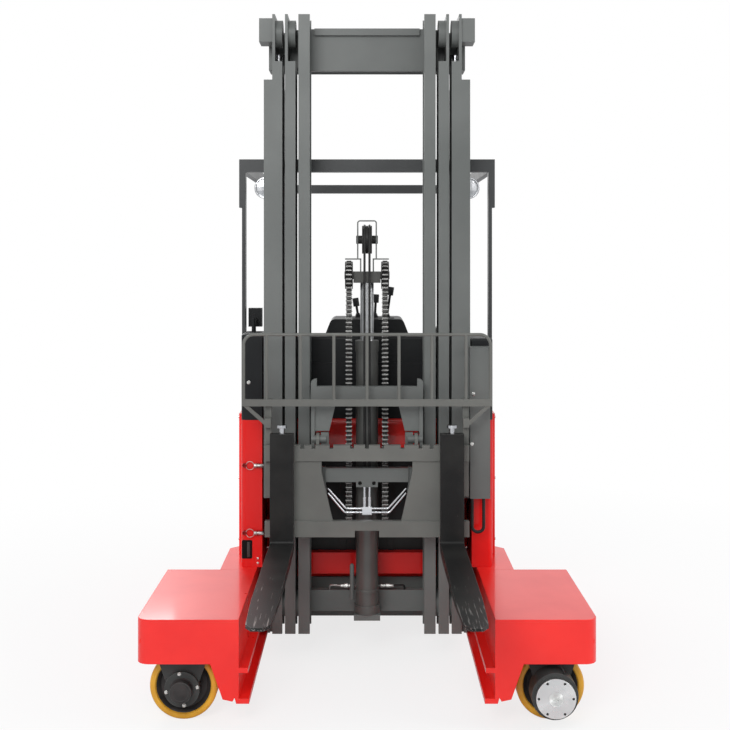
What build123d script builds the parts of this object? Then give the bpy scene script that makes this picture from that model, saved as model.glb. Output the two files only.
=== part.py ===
from build123d import *
import os

os.makedirs("parts", exist_ok=True)

# A four-way reach truck. X runs across it, -Y is its front, where the forks are, and +Z is up.
# The origin is on the floor, at the middle of its length and width. All sizes are in millimetres.

# Clearances between pieces
seat_gap = 0.3
run_gap = 6.0
bore_gap = 0.05

# Stations along the truck
shank_front_y = -380.0
mast_front_y = -200.0
leg_front_y = -900.0
pod_back_y = -221.0
deck_back_y = 193.0
leg_back_y = 300.0
column_front_y = -187.0
cab_front_y = 23.0
rear_y = 1450.0

# Legs: a box beam with a roller track on its inner side, and a pod that holds the load wheel
leg_inner_x = 484.0
leg_base_z = 96.0
track_lip = 39.0
track_lip_thick = 19.0
track_roller_d = 96.0
beam_width = 108.0
beam_foot_width = 61.0
pod_outer_x = 874.0
pod_top_z = 413.0
pod_side_height = 168.0
pod_corner_r = 50.0
pod_cover_thick = 10.0
pod_wall = 12.0
pod_roof_z = 320.0
pod_roof_thick = 16.0
well_wall_y = -567.0
well_wall_foot_x = 760.0
deck_outer_x = 643.0
deck_corner = 60.0

# Load wheels, each in a yoke that a ring turns about an upright axis
load_wheel_x = 707.0
load_wheel_y = -765.0
load_wheel_d = 262.0
load_wheel_width = 100.0
tyre_thick = 26.0
hub_bore_d = 60.0
slew_ring_d = 186.0
slew_ring_thick = 24.0
yoke_plate_thick = 18.0
yoke_width = 184.0
yoke_arm_thick = 16.0
yoke_tail_width = 96.0
yoke_bend_r = 40.0
hub_cap_d = 135.0
hub_nose_d = 82.0
hub_cap_y = -853.0
hub_nose_y = -889.0
brake_d = 176.0
brake_disc_d = 150.0
brake_front_y = -945.0

# Forks
fork_x = 362.0
fork_width = 100.0
fork_tip_width = 84.0
fork_length = 1070.0
fork_thick = 42.0
fork_tip_thick = 12.0
fork_heel_r = 55.0
fork_tip_r = 38.0
fork_top_z = 565.0
shank_top_z = 1029.0
shank_thick = 45.0
hook_height = 22.0
pin_head_z = 1066.0
pin_head_thick = 12.0
pin_head_d = 44.0
pin_d = 22.0

# Fork carriage: the tilting frame that carries the forks
bar_thick = 30.0
bar_half = 438.0
upper_bar_z = 907.0
lower_bar_z = 582.0
bar_height = 68.0
side_plate_top_in = 195.0
side_plate_foot_in = 147.0
side_plate_bend_z = 859.0
side_plate_out = 405.0
side_plate_thick = 22.0
notch_width = 16.0
notch_depth = 14.0
notch_x = (64.0, 152.0, 229.0, 277.0)
relief_half = 52.0
relief_height = 28.0
tilt_pin_z = 990.0
tilt_pin_d = 36.0
tilt_pin_y = -262.0
lug_x = 206.0
lug_thick = 14.0

# Load backrest of round rod
rod_d = 14.0
backrest_half = 536.0
backrest_top_z = 1456.0
backrest_corner_r = 45.0
backrest_bar_z = 1142.0
backrest_bar_height = 30.0
upright_width = 26.0
upright_foot_z = 750.0
brace_width = 22.0
brace_foot_z = 1060.0
brace_inset = 6.0
bracket_z = (1050.0, 1090.0)

# Lift carriage: rides on rollers inside the inner mast
carriage_front_y = -275.0
carriage_plate = 16.0
carriage_bar_thick = 34.0
carriage_half = 243.0
carriage_top_z = 1220.0
carriage_ear_z = 1252.0
carriage_top_height = 55.0
carriage_bar_z = 806.0
carriage_bar_height = 60.0
carriage_foot_z = 700.0
tab_half = 47.0
tab_height = 22.0
tab_hole_x = 30.0
tab_hole_d = 17.0
ear_width = 25.0
ear_r = 18.0
carriage_roller_z = (790.0, 1150.0)
ram_d = 62.0
ram_x = 205.0
ram_z = 765.0
ram_rod_d = 32.0

# Valve block, and the pipes to the rams: foot Z, X of the bend and end Z of each
valve_half = 21.0
valve_depth = 24.0
valve_z = (663.0, 698.0)
fitting_d = 16.0
fitting_top_z = 740.0
pipe_d = 10.0
pipe_bend_r = 16.0
pipe_table = ((689.0, 92.0, 776.0), (672.0, 98.0, 756.0))

# Mast: three nested pairs of channel rails
rail_depth = 150.0
rail_bottom_z = 123.0
mast_top_z = 2850.0
flange_cut_drop = 207.0
rail_flange = 14.0
rail_web = 12.0
inner_rail_x = 252.0
inner_rail_width = 50.0
middle_rail_x = 315.0
middle_rail_width = 46.0
outer_rail_x = 373.0
outer_rail_width = 44.0
side_strip = 37.0
side_strip_foot_z = 721.0
side_strip_drop = 288.0
mast_tie_thick = 14.0
tie_lip_thick = 16.0
tie_lip_height = 31.0
top_tie_drop = 228.0
top_tie_height = 189.0
top_bracket_drop = (120.0, 16.0)
top_bracket_width = 59.0
guide_roller_drop = 75.0
foot_tie_z = 181.0
foot_tie_height = 95.0
mast_roller_gap = 0.6

# Main lift cylinders behind the outer rails
main_cyl_x = 402.0
main_cyl_y = -17.0
main_cyl_d = 62.0
main_cyl_bottom_z = 312.0
main_cyl_drop = 310.0
main_rod_d = 42.0
main_rod_drop = 150.0
cyl_wall = 8.0

# Free lift cylinder on the inner mast, and the crosshead on its rod
free_cyl_y = -150.0
free_cyl_d = 99.0
free_cyl_bottom_z = 206.0
free_cyl_top_z = 1412.0
free_rod_d = 60.0
crosshead_z = 1667.0
crosshead_height = 50.0
crosshead_half = 60.0
crosshead_depth = 64.0
sheave_rise = 33.0
sheave_d = 122.0
sheave_seat_d = 100.0
sheave_x = 80.0
sheave_width = 34.0
sheave_axle_d = 34.0
chain_pin_width = 27.0
chain_width = 21.5
chain_thick = 16.0
chain_pitch = 38.1
chain_link_height = 20.0
chain_end_z = 560.0
hose_d = 10.0
hose_x = 11.0
hose_pulley_rise = 158.0
hose_pulley_d = 124.0
hose_groove_d = 114.4
hose_pulley_width = 44.0
hose_axle_d = 37.0
hose_axle_half = 48.0
guard_rise = 83.0
guard_half = 41.0
guard_foot_half = 28.0
guard_arm_half = 97.0
guard_wire_d = 6.0

# Hose cover on the right side strip, and the hose that loops out of it
cover_x = (449.0, 537.0)
cover_z = (728.0, 1390.0)
cover_depth = 50.0
cover_sheet = 2.0
loop_hose_d = 14.0
loop_x = (459.0, 509.0)
loop_foot_z = 582.0

# Reach frame on the outer mast, with rollers in the legs' tracks
reach_travel = 600.0
reach_plate = 14.0
reach_plate_z = (120.0, 300.0)
reach_back_y = 250.0
reach_roller_y = (-110.0, 195.0)
reach_cyl_z = 300.0
reach_cyl_d = 64.0
reach_rod_d = 36.0
reach_stub = 40.0
reach_cyl_spare = 90.0
reach_cyl_drop = 80.0
reach_bracket_half = 40.0
reach_bracket_thick = 30.0

# Body and cab
body_half = 588.0
body_corner_r = 150.0
body_wall = 30.0
body_base_z = 100.0
body_top_z = 1062.0
column_inner_x = 462.0
column_inset = 32.0
column_corner_r = 24.0
left_cap_top_z = 1441.0
right_cap_top_z = 1422.0
cap_edge_r = 10.0
cross_beam_z = 337.0
cross_beam_height = 96.0
cross_beam_y = -27.0
battery_half = 440.0
battery_back_y = 430.0
battery_height = 448.0
lid_gap = 5.0
lid_top_z = 1036.0
lid_edge_r = 20.0
floor_z = 620.0
floor_thick = 20.0
bulkhead_y = 450.0
bulkhead_thick = 40.0
ballast_half = 380.0
ballast_thick = 90.0
ballast_lift = 30.0
entry_x = (-180.0, 330.0)
entry_sill_z = 700.0
guard_post = 16.0
guard_head = 29.0
guard_head_z = 2008.0
guard_post_depth = 50.0
guard_top = 2230.0
guard_bar_height = 58.0
guard_rear_y = 1323.0
rear_bar_drop = 40.0
rear_bar_height = 47.0
lamp_inset = 120.0
lamp_z = 2099.0
lamp_d = 100.0
lamp_depth = 60.0
lamp_stem = 16.0

# Cowl in front of the cab, with the hood, the levers and the display behind it
cowl_front_y = 45.0
cowl_thick = 80.0
cowl_ledge = 12.0
cowl_ledge_z = 1293.0
cowl_top_z = 1413.0
cowl_edge_r = 12.0
hood_length = 290.0
hood_foot_half = 215.0
hood_shoulder_half = 197.0
hood_shoulder_z = 1415.0
hood_top_half = 168.0
hood_top_z = 1489.0
hood_edge_r = 28.0
lever_y = 290.0
lever_d = 12.0
knob_d = 30.0
knob_height = 40.0
display_inset = 38.0
display_size = (62.0, 40.0, 86.0)
display_z = 1458.0
display_y = 60.0
stalk_d = 20.0

# Dash, steering wheel and seat, which faces across the truck
dash_depth = 158.0
dash_foot_rise = 330.0
dash_nose_z = 1180.0
dash_ridge_inset = 68.0
dash_ridge_z = 1300.0
dash_back_z = 1240.0
dash_end_y = 1240.0
steer_reach = 20.0
steer_y = 700.0
steer_z = 1400.0
steer_lean = 30.0
steer_d = 320.0
steer_rim_d = 26.0
steer_hub_d = 68.0
steer_spoke_width = 26.0
steer_spoke_thick = 10.0
steer_column_d = 48.0
seat_mid_y = 760.0
seat_base_x = (-480.0, -60.0)
seat_base_depth = 400.0
seat_base_top_z = 1000.0
seat_front_x = 30.0
seat_width = 460.0
seat_cushion_thick = 100.0
seat_corner_r = 50.0
seat_back_thick = 100.0
seat_back_gap = 28.0
seat_back_height = 560.0
seat_back_r = 70.0

# Drive unit and drive wheel under the rear
drive_y = 1080.0
drive_wheel_d = 343.0
drive_wheel_width = 140.0
drive_tyre_thick = 45.0
drive_well_r = 250.0
motor_d = 200.0
drive_plate_z = 470.0
drive_plate_thick = 18.0
drive_plate_half = 220.0
drive_flange_d = 320.0
drive_flange_thick = 24.0
drive_arm_thick = 50.0
drive_arm_half = 80.0
drive_hub_d = 200.0

# Sizes worked out from the ones above
fork_tip_y = shank_front_y - fork_length
bar_front_y = shank_front_y + shank_thick
bar_back_y = bar_front_y + bar_thick
mast_back_y = mast_front_y + rail_depth
beam_outer_x = leg_inner_x + beam_width
beam_foot_x = leg_inner_x + beam_foot_width
pod_bottom_z = pod_top_z - pod_side_height
lip_x = leg_inner_x - track_lip
track_floor_z = leg_base_z + track_lip_thick
track_roof_z = track_floor_z + track_roller_d + 1.0
load_wheel_z = load_wheel_d / 2
drive_wheel_z = drive_wheel_d / 2
upper_bar_top_z = upper_bar_z + bar_height
lower_bar_top_z = lower_bar_z + bar_height
rail_mid_y = mast_front_y + rail_depth / 2
roller_d = rail_depth - 2 * rail_flange - mast_roller_gap
top_tie_z = mast_top_z - top_tie_drop
flange_cut_z = mast_top_z - flange_cut_drop
guide_roller_z = mast_top_z - guide_roller_drop
side_strip_z = (side_strip_foot_z, mast_top_z - side_strip_drop)
main_cyl_top_z = mast_top_z - main_cyl_drop
main_rod_top_z = mast_top_z - main_rod_drop
sheave_z = crosshead_z + sheave_rise
hose_pulley_z = sheave_z + hose_pulley_rise
guard_top_z = hose_pulley_z + guard_rise
cab_inner_x = body_half - body_wall
column_outer_x = body_half - column_inset
lamp_x = body_half - lamp_inset
dash_inner_x = cab_inner_x - dash_depth
dash_ridge_x = cab_inner_x - dash_ridge_inset
steer_x = dash_inner_x - steer_reach
display_x = -(column_outer_x - display_inset)
inner_rail_out = inner_rail_x + inner_rail_width
middle_rail_out = middle_rail_x + middle_rail_width
outer_rail_out = outer_rail_x + outer_rail_width


def block(x, y, z, mode=Mode.ADD):
    """Add a block that spans a low and a high value along each axis."""
    with Locations(((x[0] + x[1]) / 2, (y[0] + y[1]) / 2, (z[0] + z[1]) / 2)):
        Box(abs(x[1] - x[0]), abs(y[1] - y[0]), abs(z[1] - z[0]), mode=mode)


def disc_x(x, y, z, diameter, mode=Mode.ADD):
    """Add a round bar along X, from the low to the high value of x."""
    with Locations(((x[0] + x[1]) / 2, y, z)):
        Cylinder(diameter / 2, abs(x[1] - x[0]), rotation=(0, 90, 0), mode=mode)


def disc_y(x, y, z, diameter, mode=Mode.ADD):
    """Add a round bar along Y, from the low to the high value of y."""
    with Locations((x, (y[0] + y[1]) / 2, z)):
        Cylinder(diameter / 2, abs(y[1] - y[0]), rotation=(90, 0, 0), mode=mode)


def disc_z(x, y, z, diameter, mode=Mode.ADD):
    """Add a round bar along Z, from the low to the high value of z."""
    with Locations((x, y, (z[0] + z[1]) / 2)):
        Cylinder(diameter / 2, abs(z[1] - z[0]), mode=mode)


def save(piece, name):
    """Label a finished piece and write it to its own file."""
    piece.part.label = name
    export_step(piece.part, f"parts/{name}.step")


sides = ((-1, "left"), (1, "right"))

# Legs, with the pod's walls, its roof plate and the wall behind the wheel
for side, name in sides:
    beam_outline = [
        (side * leg_inner_x, pod_top_z - pod_cover_thick),
        (side * beam_outer_x, pod_top_z - pod_cover_thick),
        (side * beam_outer_x, pod_bottom_z),
        (side * beam_foot_x, leg_base_z + 16),
        (side * (leg_inner_x + 24), leg_base_z + 8),
        (side * (leg_inner_x + 16), leg_base_z + 22),
        (side * (leg_inner_x + 10), leg_base_z),
        (side * lip_x, leg_base_z),
        (side * lip_x, track_floor_z),
        (side * leg_inner_x, track_floor_z),
        (side * leg_inner_x, track_roof_z),
        (side * (lip_x + 4), track_roof_z),
        (side * (lip_x + 4), track_roof_z + track_lip_thick),
        (side * leg_inner_x, track_roof_z + track_lip_thick),
    ]
    well_outline = [
        (side * beam_outer_x, pod_bottom_z),
        (side * pod_outer_x, pod_bottom_z),
        (side * well_wall_foot_x, leg_base_z),
        (side * beam_foot_x, leg_base_z),
        (side * beam_foot_x, leg_base_z + 16),
    ]
    with BuildPart() as leg:
        with BuildSketch(Plane.XZ.offset(-leg_back_y)):
            with BuildLine():
                Polyline(*beam_outline, close=True)
            make_face()
        extrude(amount=leg_back_y - leg_front_y)
        with BuildSketch(Plane.XY.offset(pod_bottom_z)) as pod_ring:
            with Locations((side * (beam_outer_x + pod_outer_x) / 2, (leg_front_y + pod_back_y) / 2)):
                Rectangle(pod_outer_x - beam_outer_x, pod_back_y - leg_front_y)
            fillet(pod_ring.vertices().group_by(Axis.Y)[0].sort_by(Axis.X)[-1 if side > 0 else 0],
                   radius=pod_corner_r)
            offset(amount=-pod_wall, mode=Mode.SUBTRACT)
        extrude(amount=pod_side_height - pod_cover_thick)
        block((side * beam_outer_x, side * (pod_outer_x - pod_wall)),
              (leg_front_y + pod_wall, pod_back_y - pod_wall),
              (pod_roof_z, pod_roof_z + pod_roof_thick))
        with BuildSketch(Plane.XZ.offset(-pod_back_y)):
            with BuildLine():
                Polyline(*well_outline, close=True)
            make_face()
        extrude(amount=pod_back_y - well_wall_y)
        with BuildSketch(Plane.XY.offset(pod_bottom_z)) as deck:
            with Locations((side * (leg_inner_x + deck_outer_x) / 2, (pod_back_y + deck_back_y) / 2)):
                Rectangle(deck_outer_x - leg_inner_x, deck_back_y - pod_back_y)
            chamfer(deck.vertices().group_by(Axis.Y)[-1].sort_by(Axis.X)[-1 if side > 0 else 0],
                    length=deck_corner)
        extrude(amount=pod_side_height)
    save(leg, f"leg_{name}")

# Cover plates that close the pods from above
for side, name in sides:
    with BuildPart() as pod_cover:
        with BuildSketch(Plane.XY.offset(pod_top_z - pod_cover_thick)) as plate:
            with Locations((side * (leg_inner_x + pod_outer_x) / 2, (leg_front_y + pod_back_y) / 2)):
                Rectangle(pod_outer_x - leg_inner_x, pod_back_y - leg_front_y)
            fillet(plate.vertices().group_by(Axis.Y)[0].sort_by(Axis.X)[-1 if side > 0 else 0],
                   radius=pod_corner_r)
        extrude(amount=pod_cover_thick)
        chamfer(pod_cover.faces().sort_by(Axis.Z)[-1].edges(), length=2)
    save(pod_cover, f"pod_cover_{name}")

# Yokes: a slewing ring under the pod's roof, a top plate, and a tapered arm on the hub's side
for side, name in sides:
    arm_y = (load_wheel_y - load_wheel_width / 2 - run_gap - yoke_arm_thick,
             load_wheel_y - load_wheel_width / 2 - run_gap)
    yoke_top_z = pod_roof_z - seat_gap - slew_ring_thick
    wheel_x = side * load_wheel_x
    with BuildPart() as yoke:
        disc_z(wheel_x, load_wheel_y, (yoke_top_z, yoke_top_z + slew_ring_thick), slew_ring_d)
        block((wheel_x - yoke_width / 2, wheel_x + yoke_width / 2),
              (arm_y[0], load_wheel_y), (yoke_top_z - yoke_plate_thick, yoke_top_z + 1))
        with BuildSketch(Plane.XZ.offset(-arm_y[1])) as arm:
            with BuildLine():
                Polyline((wheel_x - yoke_width / 2, yoke_top_z + 1), (wheel_x + yoke_width / 2, yoke_top_z + 1),
                         (wheel_x + yoke_width / 2, pod_bottom_z - 12),
                         (wheel_x + yoke_tail_width / 2, load_wheel_z - 20),
                         (wheel_x - yoke_tail_width / 2, load_wheel_z - 20),
                         (wheel_x - yoke_width / 2, pod_bottom_z - 12), close=True)
            make_face()
            fillet(arm.vertices().group_by(Axis.Y)[1], radius=yoke_bend_r)
            with Locations((wheel_x, load_wheel_z)):
                Circle(hub_cap_d / 2)
        extrude(amount=yoke_arm_thick)
        if side < 0:
            disc_y(wheel_x, (hub_cap_y, arm_y[0]), load_wheel_z, hub_cap_d)
            disc_y(wheel_x, (hub_nose_y, hub_cap_y), load_wheel_z, hub_nose_d)
        else:
            disc_y(wheel_x, (brake_front_y + 24, arm_y[0]), load_wheel_z, brake_d)
        disc_y(wheel_x, (arm_y[1], load_wheel_y + load_wheel_width / 2 - 8), load_wheel_z,
               hub_bore_d - 2 * bore_gap)
    save(yoke, f"yoke_{name}")

with BuildPart() as brake_disc:
    disc_y(load_wheel_x, (brake_front_y, brake_front_y + 24), load_wheel_z, brake_disc_d)
    with Locations(Plane.XZ.offset(-brake_front_y)):
        with Locations((load_wheel_x, load_wheel_z)):
            with PolarLocations(brake_disc_d / 2 - 10, 6):
                Hole(5, depth=10)
            CounterBoreHole(13, 27, 4, depth=12)
save(brake_disc, "brake_disc")

# Load wheels: a moulded tyre on a dished core, one solid each
for side, name in sides:
    wheel_centre = Vector(side * load_wheel_x, load_wheel_y, load_wheel_z)
    half = load_wheel_width / 2
    outer_r = load_wheel_d / 2
    rim_r = outer_r - tyre_thick
    bore_r = hub_bore_d / 2
    with BuildPart() as wheel:
        with BuildSketch(Plane(wheel_centre, x_dir=(0, 1, 0), z_dir=(1, 0, 0))):
            with BuildLine():
                Polyline((8 - half, bore_r), (half, bore_r), (half, outer_r - 11), (half - 11, outer_r),
                         (11 - half, outer_r), (-half, outer_r - 11), (-half, rim_r), (8 - half, rim_r - 9),
                         close=True)
            make_face()
        revolve(axis=Axis(wheel_centre, (0, 1, 0)))
    save(wheel, f"load_wheel_{name}")

# Forks: a forged blade that tapers to its tip, a shank with hooks, one solid each
fork_bottom_z = fork_top_z - fork_thick
for side, name in sides:
    blade_x = side * fork_x
    with BuildPart() as fork:
        with BuildSketch(Plane.YZ.offset(blade_x - fork_width / 2)) as profile:
            with BuildLine():
                Polyline((bar_front_y, shank_top_z), (shank_front_y, shank_top_z),
                         (shank_front_y, fork_top_z), (fork_tip_y, fork_top_z),
                         (fork_tip_y, fork_top_z - fork_tip_thick),
                         (shank_front_y - 250, fork_bottom_z), (bar_front_y, fork_bottom_z), close=True)
            make_face()
            fillet(profile.vertices().filter_by_position(Axis.X, bar_front_y - 1, bar_front_y + 1)
                   .sort_by(Axis.Y)[0], radius=fork_heel_r * 0.6)
            fillet(profile.vertices().filter_by_position(Axis.X, shank_front_y - 1, shank_front_y + 1)
                   .sort_by(Axis.Y)[0], radius=12)
        extrude(amount=fork_width)
        with BuildSketch(Plane.XY.offset(fork_bottom_z - 1)):
            with BuildLine():
                Polyline((blade_x - fork_width, fork_tip_y + 300), (blade_x - fork_width / 2, fork_tip_y + 300),
                         (blade_x - fork_tip_width / 2, fork_tip_y + fork_tip_r), (blade_x - 20, fork_tip_y),
                         (blade_x - 20, fork_tip_y - 10), (blade_x - fork_width, fork_tip_y - 10), close=True)
            make_face()
            mirror(about=Plane.YZ.offset(blade_x))
        extrude(amount=fork_thick + 2, mode=Mode.SUBTRACT)
        for hook_z in (upper_bar_top_z, lower_bar_z - hook_height):
            block((blade_x - fork_width / 2 + 8, blade_x + fork_width / 2 - 8),
                  (bar_front_y, bar_front_y + bar_thick * 0.55), (hook_z, hook_z + hook_height))
    save(fork, f"fork_{name}")

# Locking pins that hold the forks in the notches of the upper bar
with BuildPart() as fork_pins:
    for side, name in sides:
        pin_y = shank_front_y + shank_thick / 2
        disc_z(side * fork_x, pin_y, (shank_top_z, pin_head_z - pin_head_thick), pin_d)
        disc_z(side * fork_x, pin_y, (pin_head_z - pin_head_thick, pin_head_z), pin_head_d)
save(fork_pins, "fork_pins")

# Fork carriage: two notched bars, slanted side plates and the lugs that the tilt pins go through
with BuildPart() as fork_carriage:
    for low_z in (upper_bar_z, lower_bar_z):
        block((-bar_half, bar_half), (bar_front_y, bar_back_y), (low_z, low_z + bar_height))
    for x in [-x for x in notch_x] + [0] + list(notch_x):
        block((x - notch_width / 2, x + notch_width / 2), (bar_front_y, bar_back_y),
              (upper_bar_top_z - notch_depth, upper_bar_top_z), mode=Mode.SUBTRACT)
    block((-relief_half, relief_half), (bar_front_y, bar_back_y), (lower_bar_z, lower_bar_z + relief_height),
          mode=Mode.SUBTRACT)
    with BuildSketch(Plane.XZ.offset(-bar_back_y)) as plates:
        with BuildLine():
            Polyline((side_plate_out, upper_bar_z), (side_plate_top_in, upper_bar_z),
                     (side_plate_top_in, side_plate_bend_z), (side_plate_foot_in, lower_bar_top_z),
                     (side_plate_out, lower_bar_top_z), close=True)
        make_face()
        mirror(about=Plane.YZ)
    extrude(amount=side_plate_thick)
    lug_mid = (upper_bar_z + tilt_pin_z) / 2
    for side, name in sides:
        lug_in = side * lug_x
        with BuildSketch(Plane.YZ.offset(lug_in if side > 0 else lug_in - lug_thick)):
            with BuildLine():
                Polyline((bar_back_y, upper_bar_z), (tilt_pin_y, upper_bar_z + 30),
                         (tilt_pin_y + 28, tilt_pin_z), (tilt_pin_y, tilt_pin_z + 28),
                         (bar_back_y, upper_bar_top_z), close=True)
            make_face()
            with Locations((tilt_pin_y, tilt_pin_z)):
                Circle(28)
        extrude(amount=lug_thick)
        disc_x((lug_in - 30, lug_in + 30), tilt_pin_y, tilt_pin_z, tilt_pin_d + 2 * bore_gap,
               mode=Mode.SUBTRACT)
save(fork_carriage, "fork_carriage")

# Load backrest: round rods in a frame, on a flat bar and two end uprights
with BuildPart() as backrest:
    rod_y = bar_front_y + rod_d / 2
    with BuildLine() as frame_path:
        FilletPolyline((-backrest_half + rod_d / 2, rod_y, backrest_bar_z),
                       (-backrest_half + rod_d / 2, rod_y, backrest_top_z - rod_d / 2),
                       (backrest_half - rod_d / 2, rod_y, backrest_top_z - rod_d / 2),
                       (backrest_half - rod_d / 2, rod_y, backrest_bar_z), radius=backrest_corner_r)
    with BuildSketch(Plane(frame_path.line @ 0, z_dir=frame_path.line % 0)):
        Circle(rod_d / 2)
    sweep()
    for upright_x in (-430, -285, -142, 0, 137, 278, 424):
        disc_z(upright_x, rod_y, (backrest_bar_z + 1, backrest_top_z - rod_d / 2), rod_d)
    block((-backrest_half, backrest_half), (bar_front_y, bar_front_y + 12),
          (backrest_bar_z, backrest_bar_z + backrest_bar_height))
    for side, name in sides:
        out_x = side * bar_half
        block((out_x - side * upright_width, out_x), (bar_back_y + seat_gap, bar_back_y + 12),
              (upright_foot_z, backrest_bar_z + backrest_bar_height))
        block((out_x - side * upright_width, out_x), (bar_front_y + 10, bar_back_y + 2),
              (backrest_bar_z, backrest_bar_z + backrest_bar_height))
        with BuildSketch(Plane.XZ.offset(-(bar_front_y + 12))):
            with BuildLine():
                Polyline((out_x, brace_foot_z), (side * (backrest_half - brace_inset), backrest_bar_z + 1),
                         (side * (backrest_half - brace_inset - brace_width), backrest_bar_z + 1),
                         (out_x, brace_foot_z + brace_width), close=True)
            make_face()
        extrude(amount=10)
        block((out_x - side * upright_width, out_x), (bar_front_y + 2, bar_back_y + 2), bracket_z)
save(backrest, "load_backrest")

# Lift carriage: side plates with rollers, crossbars, gussets that hold the tilt pins, and tilt rams
ram_front_y = carriage_front_y + 2
ram_back_y = mast_front_y - 14
carriage_back_y = mast_back_y - mast_tie_thick - tie_lip_thick - run_gap
with BuildPart() as lift_carriage:
    bar_y = (carriage_front_y, carriage_front_y + carriage_bar_thick)
    block((-carriage_half, carriage_half), bar_y, (carriage_top_z - carriage_top_height, carriage_top_z))
    block((-180, 180), bar_y, (carriage_bar_z, carriage_bar_z + carriage_bar_height))
    block((-tab_half, tab_half), bar_y, (carriage_bar_z - tab_height, carriage_bar_z + 1))
    for x in (-tab_hole_x, tab_hole_x):
        disc_y(x, bar_y, carriage_bar_z - 5, tab_hole_d, mode=Mode.SUBTRACT)
    for side, name in sides:
        out_x = side * carriage_half
        block((out_x - side * carriage_plate, out_x), (carriage_front_y, carriage_back_y),
              (carriage_foot_z, carriage_top_z))
        with BuildSketch(Plane.XZ.offset(-bar_y[1])) as ear:
            with Locations((out_x - side * ear_width / 2, (carriage_top_z + carriage_ear_z) / 2)):
                Rectangle(ear_width, carriage_ear_z - carriage_top_z)
            fillet(ear.vertices().group_by(Axis.Y)[-1].sort_by(Axis.X)[-1 if side > 0 else 0], radius=ear_r)
        extrude(amount=carriage_bar_thick)
        block((side * 179, out_x), (carriage_front_y + 8, bar_y[1]), (carriage_foot_z + 20, 870))
        with BuildSketch(Plane.XZ.offset(-bar_y[1])):
            with BuildLine():
                Polyline((side * 232, 1167), (side * 130, 1167), (side * 164, 1026), (side * 232, 1026),
                         close=True)
            make_face()
        extrude(amount=carriage_bar_thick - 12)
        for z in carriage_roller_z:
            disc_x((out_x, side * (inner_rail_out - rail_web - 4)), rail_mid_y, z, roller_d)
            disc_x((out_x - side * 8, out_x), rail_mid_y, z, 60)
        pin_in = side * (lug_x - 40)
        block((pin_in, pin_in + side * 34), (carriage_front_y + 8, bar_y[1]), (955, 1020))
        disc_x((pin_in + side * 10, side * (carriage_half - 2)), tilt_pin_y, tilt_pin_z, tilt_pin_d)
        disc_y(side * ram_x, (ram_front_y, ram_back_y), ram_z, ram_d)
        disc_y(side * ram_x, (ram_front_y - 5, ram_back_y - 10), ram_z, ram_rod_d + 2 * bore_gap,
               mode=Mode.SUBTRACT)
save(lift_carriage, "lift_carriage")

# Rods of the tilt rams, whose rounded noses bear on the fork carriage's side plates
with BuildPart() as tilt_rods:
    for side, name in sides:
        nose_y = bar_back_y + seat_gap
        with BuildSketch(Plane((side * ram_x, 0, ram_z), x_dir=(0, 1, 0), z_dir=(1, 0, 0))):
            with BuildLine():
                ThreePointArc((nose_y, 0), (nose_y + 0.8, 8), (nose_y + 3.2, ram_rod_d / 2))
                Polyline((nose_y + 3.2, ram_rod_d / 2), (ram_back_y - 30, ram_rod_d / 2),
                         (ram_back_y - 30, 0), (nose_y, 0))
            make_face()
        revolve(axis=Axis((side * ram_x, 0, ram_z), (0, 1, 0)))
save(tilt_rods, "tilt_rods")

# Valve block with the tilt rams' pipes
with BuildPart() as manifold:
    pipe_y = carriage_front_y + valve_depth / 2 + 2
    block((-valve_half, valve_half), (pipe_y - valve_depth / 2, pipe_y + valve_depth / 2), valve_z)
    for x in (-hose_x, hose_x):
        disc_z(x, pipe_y, (valve_z[1] - 1, fitting_top_z), fitting_d)
        disc_z(x, pipe_y, (fitting_top_z, carriage_bar_z - tab_height), pipe_d + 1)
    for side, name in sides:
        for foot_z, turn_x, end_z in pipe_table:
            with BuildLine() as pipe_path:
                FilletPolyline((side * (valve_half - 1), pipe_y, foot_z), (side * turn_x, pipe_y, foot_z),
                               (side * (ram_x - ram_d / 2 - 4), pipe_y, end_z), radius=pipe_bend_r)
            with BuildSketch(Plane(pipe_path.line @ 0, z_dir=pipe_path.line % 0)):
                Circle(pipe_d / 2)
            sweep()
save(manifold, "manifold")


def rail_pair(half_in, width, z, cut_z=None):
    """Add two channel rails that open towards the middle, from a low to a high z."""
    for side in (-1, 1):
        with BuildSketch(Plane.XY.offset(z[0])) as section:
            with Locations((side * (half_in + width / 2), rail_mid_y)):
                Rectangle(width, rail_depth)
            with Locations((side * (half_in + (width - rail_web) / 2), rail_mid_y)):
                Rectangle(width - rail_web, rail_depth - 2 * rail_flange, mode=Mode.SUBTRACT)
        extrude(section.sketch, amount=z[1] - z[0])
        if cut_z is not None:
            block((side * half_in, side * (half_in + width - rail_web)), (mast_front_y, mast_back_y),
                  (cut_z, z[1]), mode=Mode.SUBTRACT)


# Inner mast: rails, a top tie at their backs and a foot tie that carries the free lift cylinder
tie_y = (mast_back_y - mast_tie_thick, mast_back_y)
with BuildPart() as mast_inner:
    rail_pair(inner_rail_x, inner_rail_width, (rail_bottom_z, mast_top_z))
    block((-inner_rail_x, inner_rail_x), tie_y, (top_tie_z, top_tie_z + top_tie_height))
    block((run_gap - carriage_half, carriage_half - run_gap), (tie_y[0] - tie_lip_thick, tie_y[0] + 1),
          (top_tie_z + top_tie_height - tie_lip_height, top_tie_z + top_tie_height))
    block((-inner_rail_x, inner_rail_x), tie_y, (foot_tie_z, foot_tie_z + foot_tie_height))
    block((-58, 58), (free_cyl_y - 50, tie_y[0]), (foot_tie_z, free_cyl_bottom_z))
    for side, name in sides:
        disc_x((side * inner_rail_out, side * (middle_rail_out - rail_web - 4)), rail_mid_y,
               foot_tie_z + 60, roller_d)
save(mast_inner, "mast_inner")

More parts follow.
